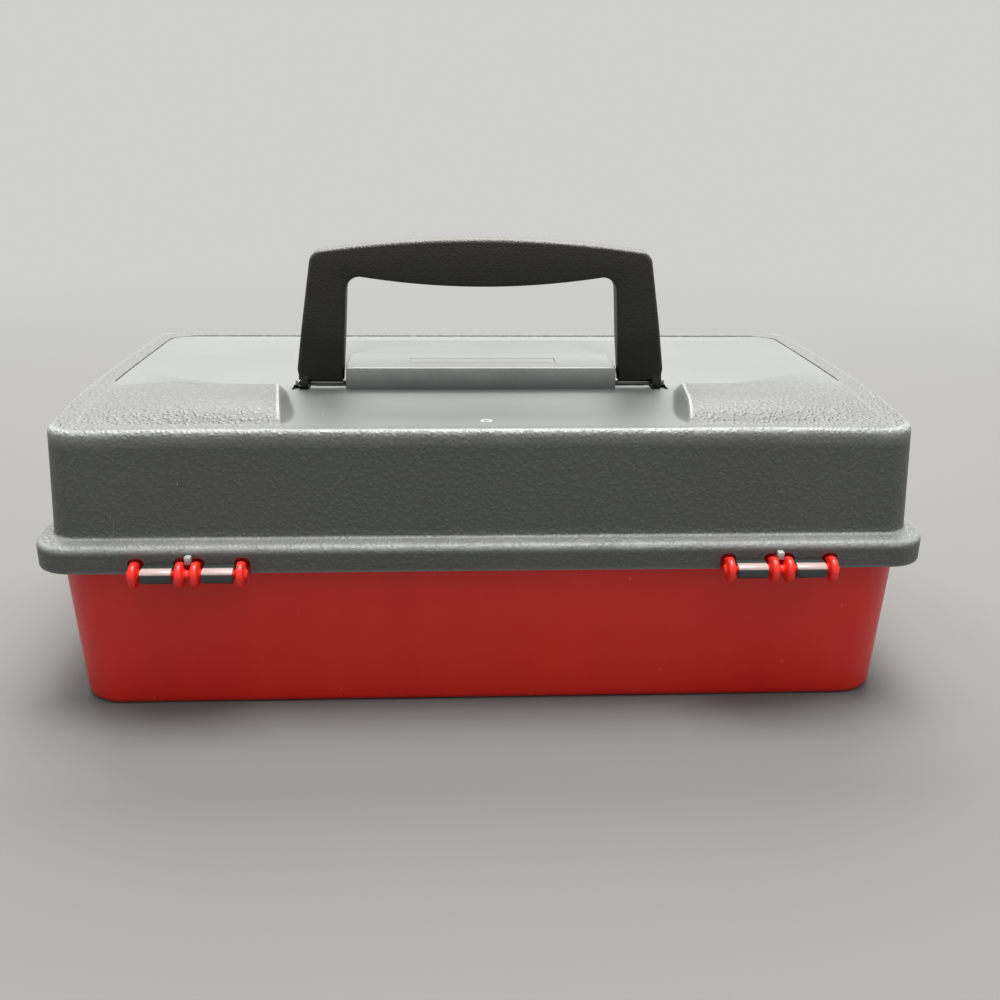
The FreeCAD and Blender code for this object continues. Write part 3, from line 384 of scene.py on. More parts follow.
def knucklePlasticMaterial():
    # Glossy grey polypropylene, painted darker than the lid as shade on the hooks' faces, with a painted
    # highlight: a pale band along the crest where the hooks bend over the rods
    material = moulded("knucklePolypropyleneGloss", ("#343a38", "#8f8a88", "#2b302f"), 0.3, 0.02)
    add = partial(addNode, material.node_tree)
    shader = material.node_tree.nodes["Principled BSDF"]
    plain = shader.inputs["Base Color"].links[0].from_socket
    place = add("SeparateXYZ", {0: add("TexCoord").outputs["Object"]}).outputs
    high, front = (add("MapRange", {"Value": place[axis], "From Min": start * mm, "From Max": end * mm},
                       interpolation_type="SMOOTHSTEP")
                   for axis, start, end in (("Z", 64.5, 65.0), ("Y", -105.5, -106.1)))
    # The pale band along the top front of each hook is a painted highlight
    crest = add("Math", {0: high, 1: front}, operation="MULTIPLY")
    feed(shader, {"Base Color": add("Mix", {0: crest, 6: plain, 7: "#ad9a95"}, data_type="RGBA")})
    return material


def steelMaterial(name, colour, roughness, scratchScale):
    # Drawn or rolled metal: fine scratches along the piece, duller patches between them
    material, add, shader, where, scratch, patch = newMaterial(name, (0.5, 4.0, 0.7), (6, 4.0, 0.6))
    feed(scratch, {"Vector": add("Mapping", {"Vector": where, "Scale": scratchScale})})
    tone = add("Mix", {0: patch, 6: colour, 7: "#a9a8a4"}, data_type="RGBA")
    gloss = add("Mix", {0: patch, 2: roughness - 0.07, 3: roughness + 0.12})
    bump = add("Bump", {"Height": scratch, "Distance": 0.02 * mm, "Strength": 0.6})
    feed(shader, {"Base Color": tone, "Roughness": gloss, "Normal": bump, "Metallic": 1.0})
    return material


lidPlastic = lidPlasticMaterial()
handlePlastic = handlePlasticMaterial()
tubPlastic = tubPlasticMaterial()
knucklePlastic = knucklePlasticMaterial()
# The tub's red painted brighter as a highlight, for discs and rods that catch more light; glossier too
hingeRedPaintedBright = moulded("hingePolypropyleneGloss", ("#e62a20", "#f2695a", "#dc2219"), 0.38, 0.02)
# Undyed pale grey trays with a soft sheen
trayPlastic = moulded("trayPolypropyleneSatin", ("#a9aba8", "#c4c6c2", "#9c9e9b"), 0.45, 0.03)
# Deep red, worn paler by fingers
latchPlastic = moulded("latchPolypropyleneSatin", ("#b81c16", "#d8483c", "#a51812"), 0.38, 0.03)
# Nearly white: stress-whitened plastic on the gate ring and scratches, and a painted highlight standing for
# the light on the hinge nibs
paleMarkAndNibHighlightPlastic = moulded("nibPolypropyleneBlushed", ("#a2a4a2", "#d5d6d3", "#8d8f8e"), 0.4, 0.03)
# Zinc plate looks cool and slightly clouded
platedSteel = steelMaterial("armSteelZincPlated", "#a7a8a6", 0.3, (1.0, 12.0, 1.0))
# Oiled steel looks dark and sleek
pinSteel = steelMaterial("pinSteelOiled", "#6b6a67", 0.2, (0.1, 1.0, 1.0))
# Brass-washed wire looks warm
bailWire = steelMaterial("bailWireBrassDrawn", "#b08a45", 0.28, (1.0, 1.0, 0.1))
print("materials made")


# Lid: its top is a height over the plan, carried by a grid whose outer lines follow the rim

lid = {
    # Rectangles: centre x and y, half length, half width, corner radius
    "top": (0.0, 0.0, 167.2, 93.7, 9.6), "wallFoot": (0.0, 0.0, 169.6, 96.1, 12.0),
    "panel": (0.0, -1.0, 157.0, 81.5, 12.0), "innerTop": (0.0, 0.0, 164.7, 91.2, 7.1),
    "innerFoot": (0.0, 0.0, 167.1, 93.6, 9.5), "flangeCorner": 16.0,
    "edgeRound": 2.3, "wall": 2.5, "ceiling": 2.0, "ledgeTop": 75.3, "innerLedge": 71.0, "gridStep": 1.35,
    # Share of the way from the panel to the rim's edge, drop and grain: groove, rim, rounded edge
    "rimLines": ((0.02, 0.5, 0.0), (0.06, 0.5, 0.6), *((share, 0.0, 1.0) for share in
                 (0.08, 0.1, 0.22, 0.38, 0.54, 0.68, 0.775, 0.83, 0.88, 0.92, 0.953, 0.98, 0.995, 1.0))),
    # rimWearAndHighlight: where and how wide the rounded edge is paler, rubbed wear and a painted highlight
    # on the bead
    "rimWearAndHighlight": (0.94, 0.1), "wallLines": (0.03, 0.12, 0.28, 0.45, 0.62, 0.8, 0.93), "wallGrain": 0.62,
    # Inset from the flange's face, height and wear with painted highlight: ledge, skirt, its lower edge and
    # its inside
    "skirtLines": ((6.4, 75.3, 0.1), (6.2, 74.75, 0.6), (5.8, 74.4, 0.8), (4.6, 74.1, 0.5),
                   (3.0, 73.7, 0.5), (2.0, 73.4, 0.6), (1.15, 73.0, 0.9), (0.55, 72.45, 1.0),
                   (0.18, 71.6, 0.7), (0.02, 70.6, 0.2), (0.0, 69.6, 0.0), (0.0, 67.0, 0.0),
                   (0.0, 64.0, 0.0), (0.0, 63.0, 0.2), (0.12, 62.5, 0.5), (0.45, 62.3, 0.5),
                   (2.1, 62.3, 0.0), (2.4, 62.45, 0.0), (2.5, 62.8, 0.0), (2.5, 66.0, 0.0),
                   (2.5, 69.9, 0.0), (2.8, 70.3, 0.0), (8.2, 70.3, 0.0), (8.75, 70.5, 0.0), (8.9, 71.0, 0.0)),
    "ledgeInset": 6.4, "ledgeCorner": 12.0, "ledgeLow": 72.9,
    # Share of the way from the inner wall's top to the inner panel, and drop
    "innerShare": 0.35, "innerLines": ((0.1, 0.9), (0.25, 0.3), (0.5, 0.0), (0.99, 0.0)),
    # (back, height) of the side edge, and of the shoulders with the dish behind them
    "side": ((6, 116.2), (12, 116.9), (17.5, 117.3), (28.7, 118.3), (52.5, 119.6), (78.2, 119.7),
             (106.8, 119.3), (138.7, 118.5), (174.7, 117.5), (190, 116.6), (199, 115.8)),
    "shoulder": ((5, 116.7), (9, 117.0), (12, 117.0), (15, 116.8), (17.2, 116.7), (19.5, 118.0), (24, 119.9),
                 (28, 120.9), (36, 121.5), (46, 120.9), (58.7, 119.3), (75, 117.6), (82, 116.6), (86, 115.1),
                 (91, 113.4), (97, 112.15), (183, 116.4)),
    "panelNear": 94.5, "floorNear": 112.0, "floorFar": 116.4, "floorRear": 117.0,
    "dishLength": 88.5, "floorNearHalf": 106.0, "floorFarHalf": 128.0, "panelHalf": 157.0, "panelSink": 0.25,
    "farEdge": (176, 7, 0.75), "rimSides": (156.6, 1.0), "rimFar": (183.2, 0.8), "channelStart": 8.8,
    # Crest of the channel's side walls: distance out at the hinge side and growth with back
    "crestLine": (76.9, 0.1515), "wallLean": 0.85, "wallSoft": 0.7, "channelEnd": 101,
    # Grid lines between the inner and outer mark move so that the middle one runs along the crest
    "crestMarks": (60.6, 86, 140), "crestEnds": (5, 90), "crestFade": (96, 8),
    # Distances out and back of the grid's own lines: platform, crests, dish and seam
    "marksX": (60.5, 60.42, 60.2, 59.85, 61.2, *np.arange(70.0, 91.0, 0.75), 86.0),
    "marksY": (88.0, 88.78, 89.0, 89.5, 117.95, 118.05, 119.0, 173.0, 176.7, 176.95, 177.2, 177.45, 177.7,
               94.5, 50.0, 17.5),
    # Where the grain starts, each with the width over which it grows
    "grainSides": (156.8, 0.5), "grainFar": (183.1, 0.5), "grainCrest": (-0.4, 0.6), "grainPanel": 6,
    "grainNear": (13.0, -2.5),
    # Pale lines on the smooth panel, partly rubbed wear and partly a painted highlight on the crest and
    # platform edges: place and width
    "crestWearAndHighlight": (0.3, 0.5), "crestWearAndHighlightEnds": (16, 88), "plateWearAndHighlight": (89.1, 0.5), "wearAndHighlightLevel": 0.8,
    # Where the smooth panel starts behind the grained shoulder: (across, back)
    "panelStart": ((0, 90), (108, 89), (120, 86), (132, 79), (145, 71), (156, 66), (170, 64)),
    "platformHalf": 60.5, "platformNear": 88.0, "platformFlatEnd": 118.0,
    "platformEnd": 173.0, "platformTop": 122.0, "platformLow": 116.8, "platformRound": 0.6,
    "platformBow": 0.25, "platformStep": 0.75, "platformDrop": 0.45,
    "platformOpening": 22.0, "platformSpread": (18.0, 34.0), "platformFade": (4.0, 6.0),
    "pocketInner": 77.1, "pocketOuter": 84.8, "pocketNear": 87.8, "pocketFar": 98.2, "pocketFloor": 110.4,
    "trenchNear": 95.6, "trenchFar": 98.6, "trenchFloor": 110.7,
    "pocketWall": 1.8, "pocketRoof": 111.6, "overLid": 119.0,
    "namePlate": (-32.5, -3.6, 34.2, 5.6), "plateLine": 0.45, "thinLine": 0.3, "lineFloor": 121.6,
    "thinFloor": 121.85, "overPlate": 123.0,
    "seamBack": 177.2, "seamHalf": 76.0, "seamWidth": 0.28, "seamDepth": 0.45,
}


def smoothStep(share):
    share = np.clip(share, 0, 1)
    return share * share * (3 - 2 * share)


def softCurve(points, window):
    # A curve through (place, height) points, smoothed over a window
    places = np.linspace(points[0][0] - 20, points[-1][0] + 20, 1200)
    heights = np.interp(places, [p[0] for p in points], [p[1] for p in points])
    width = max(3, int(window / (places[1] - places[0])) | 1)
    kernel = np.hanning(width + 2)[1:-1]
    kernel /= kernel.sum()
    padded = np.pad(heights, width // 2, mode="edge")
    return places, np.convolve(padded, kernel, mode="valid")


sideCurve = softCurve(lid["side"], 14)
shoulderCurve = softCurve(lid["shoulder"], 3.2)


def softMax(a, b, reach):
    # The larger of two heights, blended where they meet
    return (a + b + np.sqrt((a - b) ** 2 + reach ** 2)) / 2


def crestAt(back):
    # Distance out of the crest between the channel and a shoulder
    return lid["crestLine"][0] + lid["crestLine"][1] * back


def lidHeight(x, y, inset=0.0):
    # Height of the lid's top above the table, before its edge is rounded
    across = np.abs(x)
    back = y + halfWidth
    side = np.interp(back, *sideCurve)
    near = lid["panelNear"]
    along = np.clip((back - near) / lid["dishLength"], 0, 1)
    dishFloor = lid["floorNear"] + (lid["floorFar"] - lid["floorNear"]) * along
    profile = np.interp(back, *shoulderCurve)
    # Shoulders and dish rise or fall to the side edges
    floorHalf = lid["floorNearHalf"] + (lid["floorFarHalf"] - lid["floorNearHalf"]) * along
    ramp = np.clip((across - floorHalf) / (lid["panelHalf"] - floorHalf), 0, 1)
    ramp = ramp * ramp * (2 - ramp)
    top = profile + (side - lid["panelSink"] - profile) * ramp
    farStart, farWidth, farShare = lid["farEdge"]
    farEdge = smoothStep((back - farStart) / farWidth)
    top = top + (side - lid["panelSink"] - top) * farEdge * farShare
    (sideStart, sideWidth), (endStart, endWidth) = lid["rimSides"], lid["rimFar"]
    rimShare = smoothStep((across - sideStart) / sideWidth) + smoothStep((back - endStart) / endWidth)
    top = top + (side - top) * np.clip(rimShare, 0, 1)
    # Channel between the shoulders, its side walls leaning out to the crest lines
    run = np.clip((back - lid["channelStart"]) / (near - lid["channelStart"]), 0, 1)
    channel = np.where(back < near, lid["floorRear"] + (lid["floorNear"] - lid["floorRear"]) * run, dishFloor)
    rise = np.maximum(profile - channel, 0)
    wall = channel + (across - crestAt(back)) / lid["wallLean"] + rise
    top = np.where(back < lid["channelEnd"], np.minimum(top, softMax(channel, wall, lid["wallSoft"])), top)
    # Platform between the handle's legs
    inside = lid["platformHalf"] - inset - across
    nearIn = back - lid["platformNear"] - inset
    run = np.clip((back - lid["platformFlatEnd"]) / (lid["platformEnd"] - lid["platformFlatEnd"]), 0, 1)
    bow = lid["platformBow"]
    fall = bow * run * run + (1 - bow) * run
    plate = lid["platformTop"] + (lid["platformLow"] - lid["platformTop"]) * fall
    edge = np.minimum(inside / lid["platformRound"], (nearIn - lid["platformStep"]) / lid["platformRound"])
    soft = lid["platformDrop"] * (1 - np.clip(edge, 0, 1)) ** 2
    onPlate = (inside > 0.01) & (nearIn > 0.7) & (back < lid["platformFlatEnd"])
    lifted = np.where(onPlate, np.maximum(top, plate - soft), top)
    # Behind the flat part the platform runs out softly into the dish
    opening = np.clip((back - lid["platformFlatEnd"]) / lid["platformOpening"], 0, 1)
    reach, spread = lid["platformSpread"]
    slope = smoothStep((lid["platformHalf"] + reach * opening - inset - across) / (0.7 + spread * opening))
    fadeEnd, fadeWidth = lid["platformFade"]
    slope = slope * smoothStep((lid["platformEnd"] + fadeEnd - back) / fadeWidth)
    behind = back >= lid["platformFlatEnd"]
    top = np.where(behind, top + np.maximum(plate - top, 0) * slope, lifted)
    seam = np.exp(-((back - lid["seamBack"]) / lid["seamWidth"]) ** 2)
    seam = seam * (across < lid["seamHalf"]) * (inset == 0)
    return top - inset - lid["seamDepth"] * seam


def outerDistance(x, y, rect):
    # Distance inwards from a rounded rectangle's edge
    centreX, centreY, half, depth, corner = rect
    dx = np.abs(x - centreX) - (half - corner)
    dy = np.abs(y - centreY) - (depth - corner)
    outside = np.hypot(np.maximum(dx, 0), np.maximum(dy, 0))
    return corner - outside - np.minimum(np.maximum(dx, dy), 0)


def axisStations(marks, half, corner, step):
    # Signed stations: a share of the straight run, then a share of the corner
    straight = half - corner
    marks = sorted(set([-straight, straight] + [m for m in marks if abs(m) < straight]))
    places = [marks[0]]
    for low, high in zip(marks, marks[1:]):
        parts = max(1, round((high - low) / step))
        places += [low + (high - low) * part / parts for part in range(1, parts + 1)]
    corners = (0.14, 0.28, 0.42, 0.55, 0.67, 0.78, 0.88, 0.95, 1.0)
    stations = [(-1.0, -share) for share in reversed(corners)]
    stations += [(place / straight, 0.0) for place in places]
    stations += [(1.0, share) for share in corners]
    return np.array(stations)


def placed(stationX, stationY, rect):
    # Where stations lie on a rounded rectangle
    centreX, centreY, half, depth, corner = rect
    a = stationX[..., 1]
    b = stationY[..., 1]
    x = centreX + stationX[..., 0] * (half - corner) + corner * a * np.sqrt(1 - b * b / 2)
    y = centreY + stationY[..., 0] * (depth - corner) + corner * b * np.sqrt(1 - a * a / 2)
    return x, y


def lidGrid():
    # Lines of the panel's grid in both directions
    half, depth, corner = lid["panel"][2:]
    marksX = [float(mark) * sign for sign in (-1, 1) for mark in lid["marksX"]]
    marksY = [mark - halfWidth - lid["panel"][1] for mark in lid["marksY"]]
    return (axisStations(marksX, half, corner, lid["gridStep"]),
            axisStations(marksY, depth, corner, lid["gridStep"]))


def rimLoop(countX, countY):
    # The grid's outer points, in order
    loop = [(i, 0) for i in range(countX)]
    loop += [(countX - 1, j) for j in range(1, countY)]
    loop += [(i, countY - 1) for i in range(countX - 2, -1, -1)]
    loop += [(0, j) for j in range(countY - 2, 0, -1)]
    return np.array(loop)


def blendRect(first, second, share):
    # A rectangle part of the way from the first to the second
    return tuple(a + (b - a) * share for a, b in zip(first, second))


def lidSkin():
    # The whole shell in one closed skin: panel, rim, walls, ledge, skirt and the inside
    stationX, stationY = lidGrid()
    countX, countY = len(stationX), len(stationY)
    gridX, gridY = np.meshgrid(np.arange(countX), np.arange(countY), indexing="ij")
    loop = rimLoop(countX, countY)
    loopX, loopY = stationX[loop[:, 0]], stationY[loop[:, 1]]
    points = []
    grain = []
    wear = []
    faces = []

    def followCrest(x, y):
        # Lines near the crest's mark follow the upper edge of the channel's side wall
        back = y + halfWidth
        inner, crest, outer = lid["crestMarks"]
        fadeEnd, fadeWidth = lid["crestFade"]
        fade = smoothStep((fadeEnd - back) / fadeWidth)
        target = crest + (crestAt(np.clip(back, *lid["crestEnds"])) - crest) * fade
        across = np.abs(x)
        within = inner + (across - inner) * (target - inner) / (crest - inner)
        beyond = target + (across - crest) * (outer - target) / (outer - crest)
        moved = np.where(across < crest, within, beyond)
        return np.sign(x) * np.where((across < inner) | (across >= outer), across, moved)

    def addPoints(x, y, z, grained, worn):
        start = len(points)
        points.extend(zip(np.ravel(x), np.ravel(y), np.ravel(z)))
        grain.extend(np.ravel(np.broadcast_to(grained, np.shape(z))))
        wear.extend(np.ravel(np.broadcast_to(worn, np.shape(z))))
        return start

    def grainedAt(x, y):
        back = y + halfWidth
        across = np.abs(x)
        start = np.interp(across, *zip(*lid["panelStart"]))
        bounds = (("grainSides", across), ("grainFar", back), ("grainCrest", across - crestAt(back)),
                  ("grainNear", back))
        sides, far, crest, near = (smoothStep((place - lid[key][0]) / lid[key][1]) for key, place in bounds)
        humps = crest * (1 - smoothStep((back - start) / lid["grainPanel"]))
        return np.maximum(np.maximum(np.maximum(sides, far), humps), near)

    def addGrid(rect, inset):
        x, y = placed(stationX[gridX], stationY[gridY], rect)
        x = followCrest(x, y)
        z = lidHeight(x, y, inset)
        back = y + halfWidth
        across = np.abs(x)
        # Crest and platform edges are paler: rubbed wear and a painted highlight
        offset, width = lid["crestWearAndHighlight"]
        first, last = lid["crestWearAndHighlightEnds"]
        crestWearAndHighlight = np.exp(-((across - crestAt(back) - offset) / width) ** 2) * (back < last) * (back > first)
        offset, width = lid["plateWearAndHighlight"]
        plateWearAndHighlight = np.exp(-((back - offset) / width) ** 2) * (across < lid["platformHalf"])
        start = addPoints(x, y, z, grainedAt(x, y) if not inset else 0.0,
                          np.maximum(crestWearAndHighlight, plateWearAndHighlight) * lid["wearAndHighlightLevel"] if not inset else 0.0)
        for i in range(countX - 1):
            for j in range(countY - 1):
                a = start + i * countY + j
                quad = (a, a + countY, a + countY + 1, a + 1)
                faces.append(quad if not inset else tuple(reversed(quad)))
        return start

    def ringPlaces(rect):
        x, y = placed(loopX, loopY, rect)
        return followCrest(x, y), y

    def addRing(rect, z=None, inset=0.0, drop=0.0, grained=1.0, worn=0.0, rounding=0.0):
        x, y = ringPlaces(rect)
        if z is None:
            z = lidHeight(x, y, inset) - drop
            if rounding:
                depth = np.clip(outerDistance(x, y, lid["top"]), 0, rounding)
                z = z - rounding + np.sqrt(rounding ** 2 - (rounding - depth) ** 2)
        else:
            z = np.broadcast_to(z, np.shape(x))
        start = addPoints(x, y, z, grained, worn)
        return list(range(start, start + len(loop)))

    def skin(first, second):
        count = len(first)
        for number in range(count):
            after = (number + 1) % count
            faces.append((first[number], second[number], second[after], first[after]))

    def grow(rect, **settings):
        # Adds a ring to the skin, which ends there until the next one
        nonlocal ring
        after = addRing(rect, **settings)
        skin(ring, after)
        ring = after

    top = addGrid(lid["panel"], 0.0)
    ring = [top + i * countY + j for i, j in loop]
    back = placed(loopX, loopY, lid["panel"])[1] + halfWidth
    cut = smoothStep((back - 72) / 6)
    # Groove round the panel, then the grained rim and the rounded edge, paler at the bead with rubbed wear
    # and a painted highlight
    rimWearAndHighlightAt, rimWearAndHighlightSpread = lid["rimWearAndHighlight"]
    for share, drop, grained in lid["rimLines"]:
        rect = blendRect(lid["panel"], lid["top"], share)
        worn = math.exp(-((share - rimWearAndHighlightAt) / rimWearAndHighlightSpread) ** 2)
        x, y = ringPlaces(rect)
        here = grainedAt(x, y) if share < 0.06 else np.maximum(grained, grainedAt(x, y))
        channelEdge = (np.abs(x) < lid["crestLine"][0] + 2) & (y < 0)
        here = np.where(channelEdge & (share < 0.5), grainedAt(x, y), here)
        grow(rect, drop=drop * cut, rounding=lid["edgeRound"], grained=here, worn=worn)
    edgeHeights = np.array([points[number][2] for number in ring])
    # Walls, with the draft of the mould, their top edge paler with rubbed wear and a painted highlight
    for share in lid["wallLines"]:
        rect = blendRect(lid["top"], lid["wallFoot"], share)
        grow(rect, z=edgeHeights + (lid["ledgeTop"] - edgeHeights) * share, grained=lid["wallGrain"],
             worn=0.35 if share < 0.1 else 0.0)
    # Ledge, skirt and the turned-in lower edge, their edges paler with rubbed wear and a painted highlight
    corner = lid["flangeCorner"]
    for inset, z, worn in lid["skirtLines"]:
        if inset > lid["ledgeInset"]:
            turn = lid["ledgeCorner"] - (inset - lid["ledgeInset"])
        else:
            turn = corner - inset * ((corner - lid["ledgeCorner"]) / lid["ledgeInset"])
        grained = 0.9 if z > lid["ledgeLow"] else (0.6 if inset < 1.0 else 0.0)
        grow((0.0, 0.0, halfLength - inset, halfWidth - inset, turn), z=z, worn=worn, grained=grained)
    # Up the inside
    wall, innerTop, ledge = lid["wall"], lid["innerTop"], lid["innerLedge"]
    x, y = ringPlaces(innerTop)
    innerHeights = lidHeight(x, y, wall) - lid["ceiling"]
    for share in (0.25, 0.5, 0.75, 0.95, 1.0):
        grow(blendRect(lid["innerFoot"], innerTop, share), z=ledge + (innerHeights - ledge) * share,
             grained=0.0)
    innerPanel = blendRect(lid["panel"], innerTop, lid["innerShare"])
    for share, drop in lid["innerLines"]:
        grow(blendRect(innerTop, innerPanel, share), inset=wall, drop=drop, grained=0.0)
    inner = addGrid(innerPanel, wall)
    skin(ring, [inner + i * countY + j for i, j in loop])
    made = outwards(meshObject("lidShell", points, faces))
    setValues(made, "grain", grain)
    setValues(made, "wear", wear)
    return made


def roundedNotch(name, low, high, depths, heights, corner, steps=6):
    bottom, top = heights
    outline = [(low, bottom), (high, bottom)]
    for centreX, start in ((high - corner, 0), (low + corner, 90)):
        outline += arc(centreX, top - corner, corner, start, 90, steps)
    return extruded(name, outline, *depths, "y")


# Snap hinges: place is a hinge's middle, outer and inner the discs' distances from it
hinge = {"place": 114.5, "y": -106.0, "z": 63.5, "discRadius": 5.0, "discWidth": 3.0, "outer": 20.15,
         "inner": 2.95, "rod": 1.75, "knuckleLength": 11.8, "knuckleRound": 0.35, "bore": 2.0,
         "notchHalf": 3.15, "notchDepths": (-110.0, -99.3), "notchHeights": (58.0, 69.0), "notchCorner": 2.6,
         "lugHalf": 1.45, "lugHigh": 3.4, "lugRoot": -95.2,
         # Height, half width, back and front of the nib over each hinge
         "nibLines": ((67.0, 1.05, -101.4, -104.7), (67.3, 1.2, -101.4, -105.0), (69.6, 1.2, -101.4, -104.9),
                      (70.0, 1.15, -101.4, -104.7), (70.2, 0.95, -101.6, -104.3))}


def pocketBox(name, sign, floor, roof, wall=0.0):
    # The room of a handle pocket, or its cup where a wall is given
    low, high = span(sign, lid["pocketInner"] - wall, lid["pocketOuter"] + wall)
    return boxObject(name, (low, lid["pocketNear"] - halfWidth - wall, floor),
                     (high, lid["pocketFar"] - halfWidth + wall, roof))


def makeLid():
    made = lidSkin()
    print("lid skin:", len(made.data.vertices), "points")
    cutters = []
    for sign in (-1, 1):
        cutters.append(pocketBox("pocketCut", sign, lid["pocketFloor"] - 4.0, lid["overLid"]))
        # A shallow trench behind the handle's rod, from the platform to the pocket
        low, high = span(sign, lid["platformHalf"] + 0.2, lid["pocketInner"] + 0.4)
        cutters.append(boxObject("trenchCut", (low, lid["trenchNear"] - halfWidth, lid["trenchFloor"]),
                                 (high, lid["trenchFar"] - halfWidth, lid["overLid"])))
        middle = sign * hinge["place"]
        for offset, half in ((-hinge["outer"], hinge["notchHalf"]), (0, hinge["inner"] + hinge["notchHalf"]),
                             (hinge["outer"], hinge["notchHalf"])):
            cutters.append(roundedNotch("notchCut", middle + offset - half, middle + offset + half,
                                        hinge["notchDepths"], hinge["notchHeights"], hinge["notchCorner"]))
    # Engraved outline of the name plate, its near and left lines thinner and shallower
    left, near, right, far = lid["namePlate"]
    line, thin, floor, thinFloor = lid["plateLine"], lid["thinLine"], lid["lineFloor"], lid["thinFloor"]
    for lowX, lowY, lowZ, highX, highY in ((left, far - line, floor, right, far),
                                           (right - line, near, floor, right, far + 0.01),
                                           (left, near, thinFloor, right - 0.5, near + thin),
                                           (left, near + 0.35, thinFloor, left + thin, far - 0.5)):
        cutters.append(boxObject("lineCut", (lowX, lowY, lowZ), (highX, highY, lid["overPlate"])))
    cutOut(made, cutters)
    smoothShaded(made, 38)
    return dress(made, lidPlastic, "lid", ("lid_shell",))


def makePockets():
    # Cups under the lid's top that hold the handle's feet and pins
    parts = []
    for sign in (-1, 1):
        cup = pocketBox("cup", sign, lid["pocketFloor"] - 2.0, lid["pocketRoof"], lid["pocketWall"])
        parts.append(cutOut(cup, [pocketBox("cupCut", sign, lid["pocketFloor"], lid["overLid"])]))
    return finished("handlePockets", parts, 34, lidPlastic, "lid")


def knuckleOutline():
    # Open C round the rod, its back running up into the skirt: (y, z) about the hinge axis
    bore = hinge["bore"]
    outer = [(4.6, 2.7), (-0.5, 2.65), (-1.9, 2.5), (-2.6, 2.1), (-3.05, 1.5), (-3.2, 0.8), (-3.2, -1.4),
             (-2.95, -2.1), (-2.3, -2.7), (-1.5, -3.0)]
    heel = [(bore * math.cos(math.radians(-55)) + 0.2, -3.0), (4.6, -1.2)]
    return outer + arc(0, 0, bore, 235, -290, 12) + heel


def makeKnuckles():
    parts = []
    reach = (hinge["outer"] + hinge["inner"]) / 2
    half = hinge["knuckleLength"] / 2
    outline = [(hinge["y"] + a, hinge["z"] + b) for a, b in knuckleOutline()]
    for sign in (-1, 1):
        for offset in (-reach, reach):
            middle = sign * hinge["place"] + offset
            part = extruded("knuckle", outline, middle - half, middle + half)
            parts.append(bevelled(part, hinge["knuckleRound"], 2, 50))
    return finished("hingeKnuckles", parts, 40, knucklePlastic, "lid")


def makeNibs():
    # Stubs over each hinge, painted pale as a highlight for the light on their tops
    parts = []
    for sign in (-1, 1):
        rings = [roundedRing(half, (back - front) / 2, 0.25, z, 4,
                             centre=(sign * hinge["place"], (back + front) / 2))
                 for z, half, back, front in hinge["nibLines"]]
        parts.append(stackedRings("nib", rings))
    return finished("hingeNibs", parts, 50, paleMarkAndNibHighlightPlastic, "lid")


lidFittings = {
    # Distance forward, half width, low and high of the catch
    "catchLines": ((101.0, 10.6, 65.8, 70.1), (103.4, 11.0, 65.97, 69.97), (105.4, 11.0, 66.2, 69.95),
                   (105.95, 10.7, 66.9, 69.6)), "catchRound": 0.3,
    # Distance out and radius of the bosses that carry the links
    "boss": ((163.6, 1.6), (163.6, 4.9), (164.0, 5.5), (168.2, 5.5), (168.2, 0)),
    "bossPlace": (0, -9.41, 89.38),
}


def makeLidFittings():
    # Catch at the front and the bosses inside the walls that carry the links
    rings = [[(x, y, z) for x, z in ((-half, low), (half, low), (half, high), (-half, high))]
             for y, half, low, high in lidFittings["catchLines"]]
    parts = [bevelled(stackedRings("catch", rings), lidFittings["catchRound"], 2)]
    parts += [turned("boss", lidFittings["boss"], 40, lidFittings["bossPlace"], sign) for sign in (-1, 1)]
    return finished("lidFittings", parts, 40, lidPlastic, "lid")


lidMarks = {
    # Rise and radius round the gate, closed into a bead
    "gate": ((0.0, 1.35), (0.14, 1.5), (0.18, 1.9), (0.12, 2.3), (0.0, 2.45), (-0.1, 1.9), (0.0, 1.35)),
    "gateY": -78.2, "gateSquash": 0.82,
    # Place, height, length, lean and half width
    "scratches": ((-143.6, 78.4, 8.6, 0.5, 0.16), (-144.3, 83.4, 1.6, -1.2, 0.2),
                  (-118.0, 96.2, 1.4, 0.6, 0.14)),
    # The rear wall's draft: height of its top edge, its height and how far it leans out
    "draft": (117.0, 42.0, 2.4), "rise": 0.07, "depth": 0.1,
}


def makeLidMarks():
    # The gate's pale ring, stress-whitened round a small dimple, and white scratches on the rear wall
    y = lidMarks["gateY"]
    points, faces = lathed(lidMarks["gate"], 36)
    height = float(lidHeight(np.array([0.0]), np.array([y]))[0])
    points = [(p[1], p[2] * lidMarks["gateSquash"] + y, p[0] + height - 0.02) for p in points]
    parts = [outwards(meshObject("gate", points, faces), 0.001)]
    top, fall, lean = lidMarks["draft"]
    for place, z, length, slant, width in lidMarks["scratches"]:
        rings = []
        for share in (0.0, 0.2, 0.5, 0.8, 1.0):
            height = z + length * (share - 0.5)
            face = -(lid["top"][3] + (top - height) / fall * lean)
            wide = width * (0.25 + 0.75 * math.sin(math.pi * min(max(share, 0.06), 0.94)))
            middle = place + slant * (share - 0.5) * length * 0.18
            sunk = face + lidMarks["depth"]
            rings.append([(middle - wide, sunk, height), (middle, face - lidMarks["rise"], height),
                          (middle + wide, sunk, height)])
        parts.append(stackedRings("scratch", rings))
    return finished("lidMarks", parts, 50, paleMarkAndNibHighlightPlastic, "lid")


makeLid()
makeLidMarks()
makePockets()
makeKnuckles()
makeNibs()
makeLidFittings()
print("lid made")


# Base tub: one skin from the foot band up the walls, over the lip and down the inside

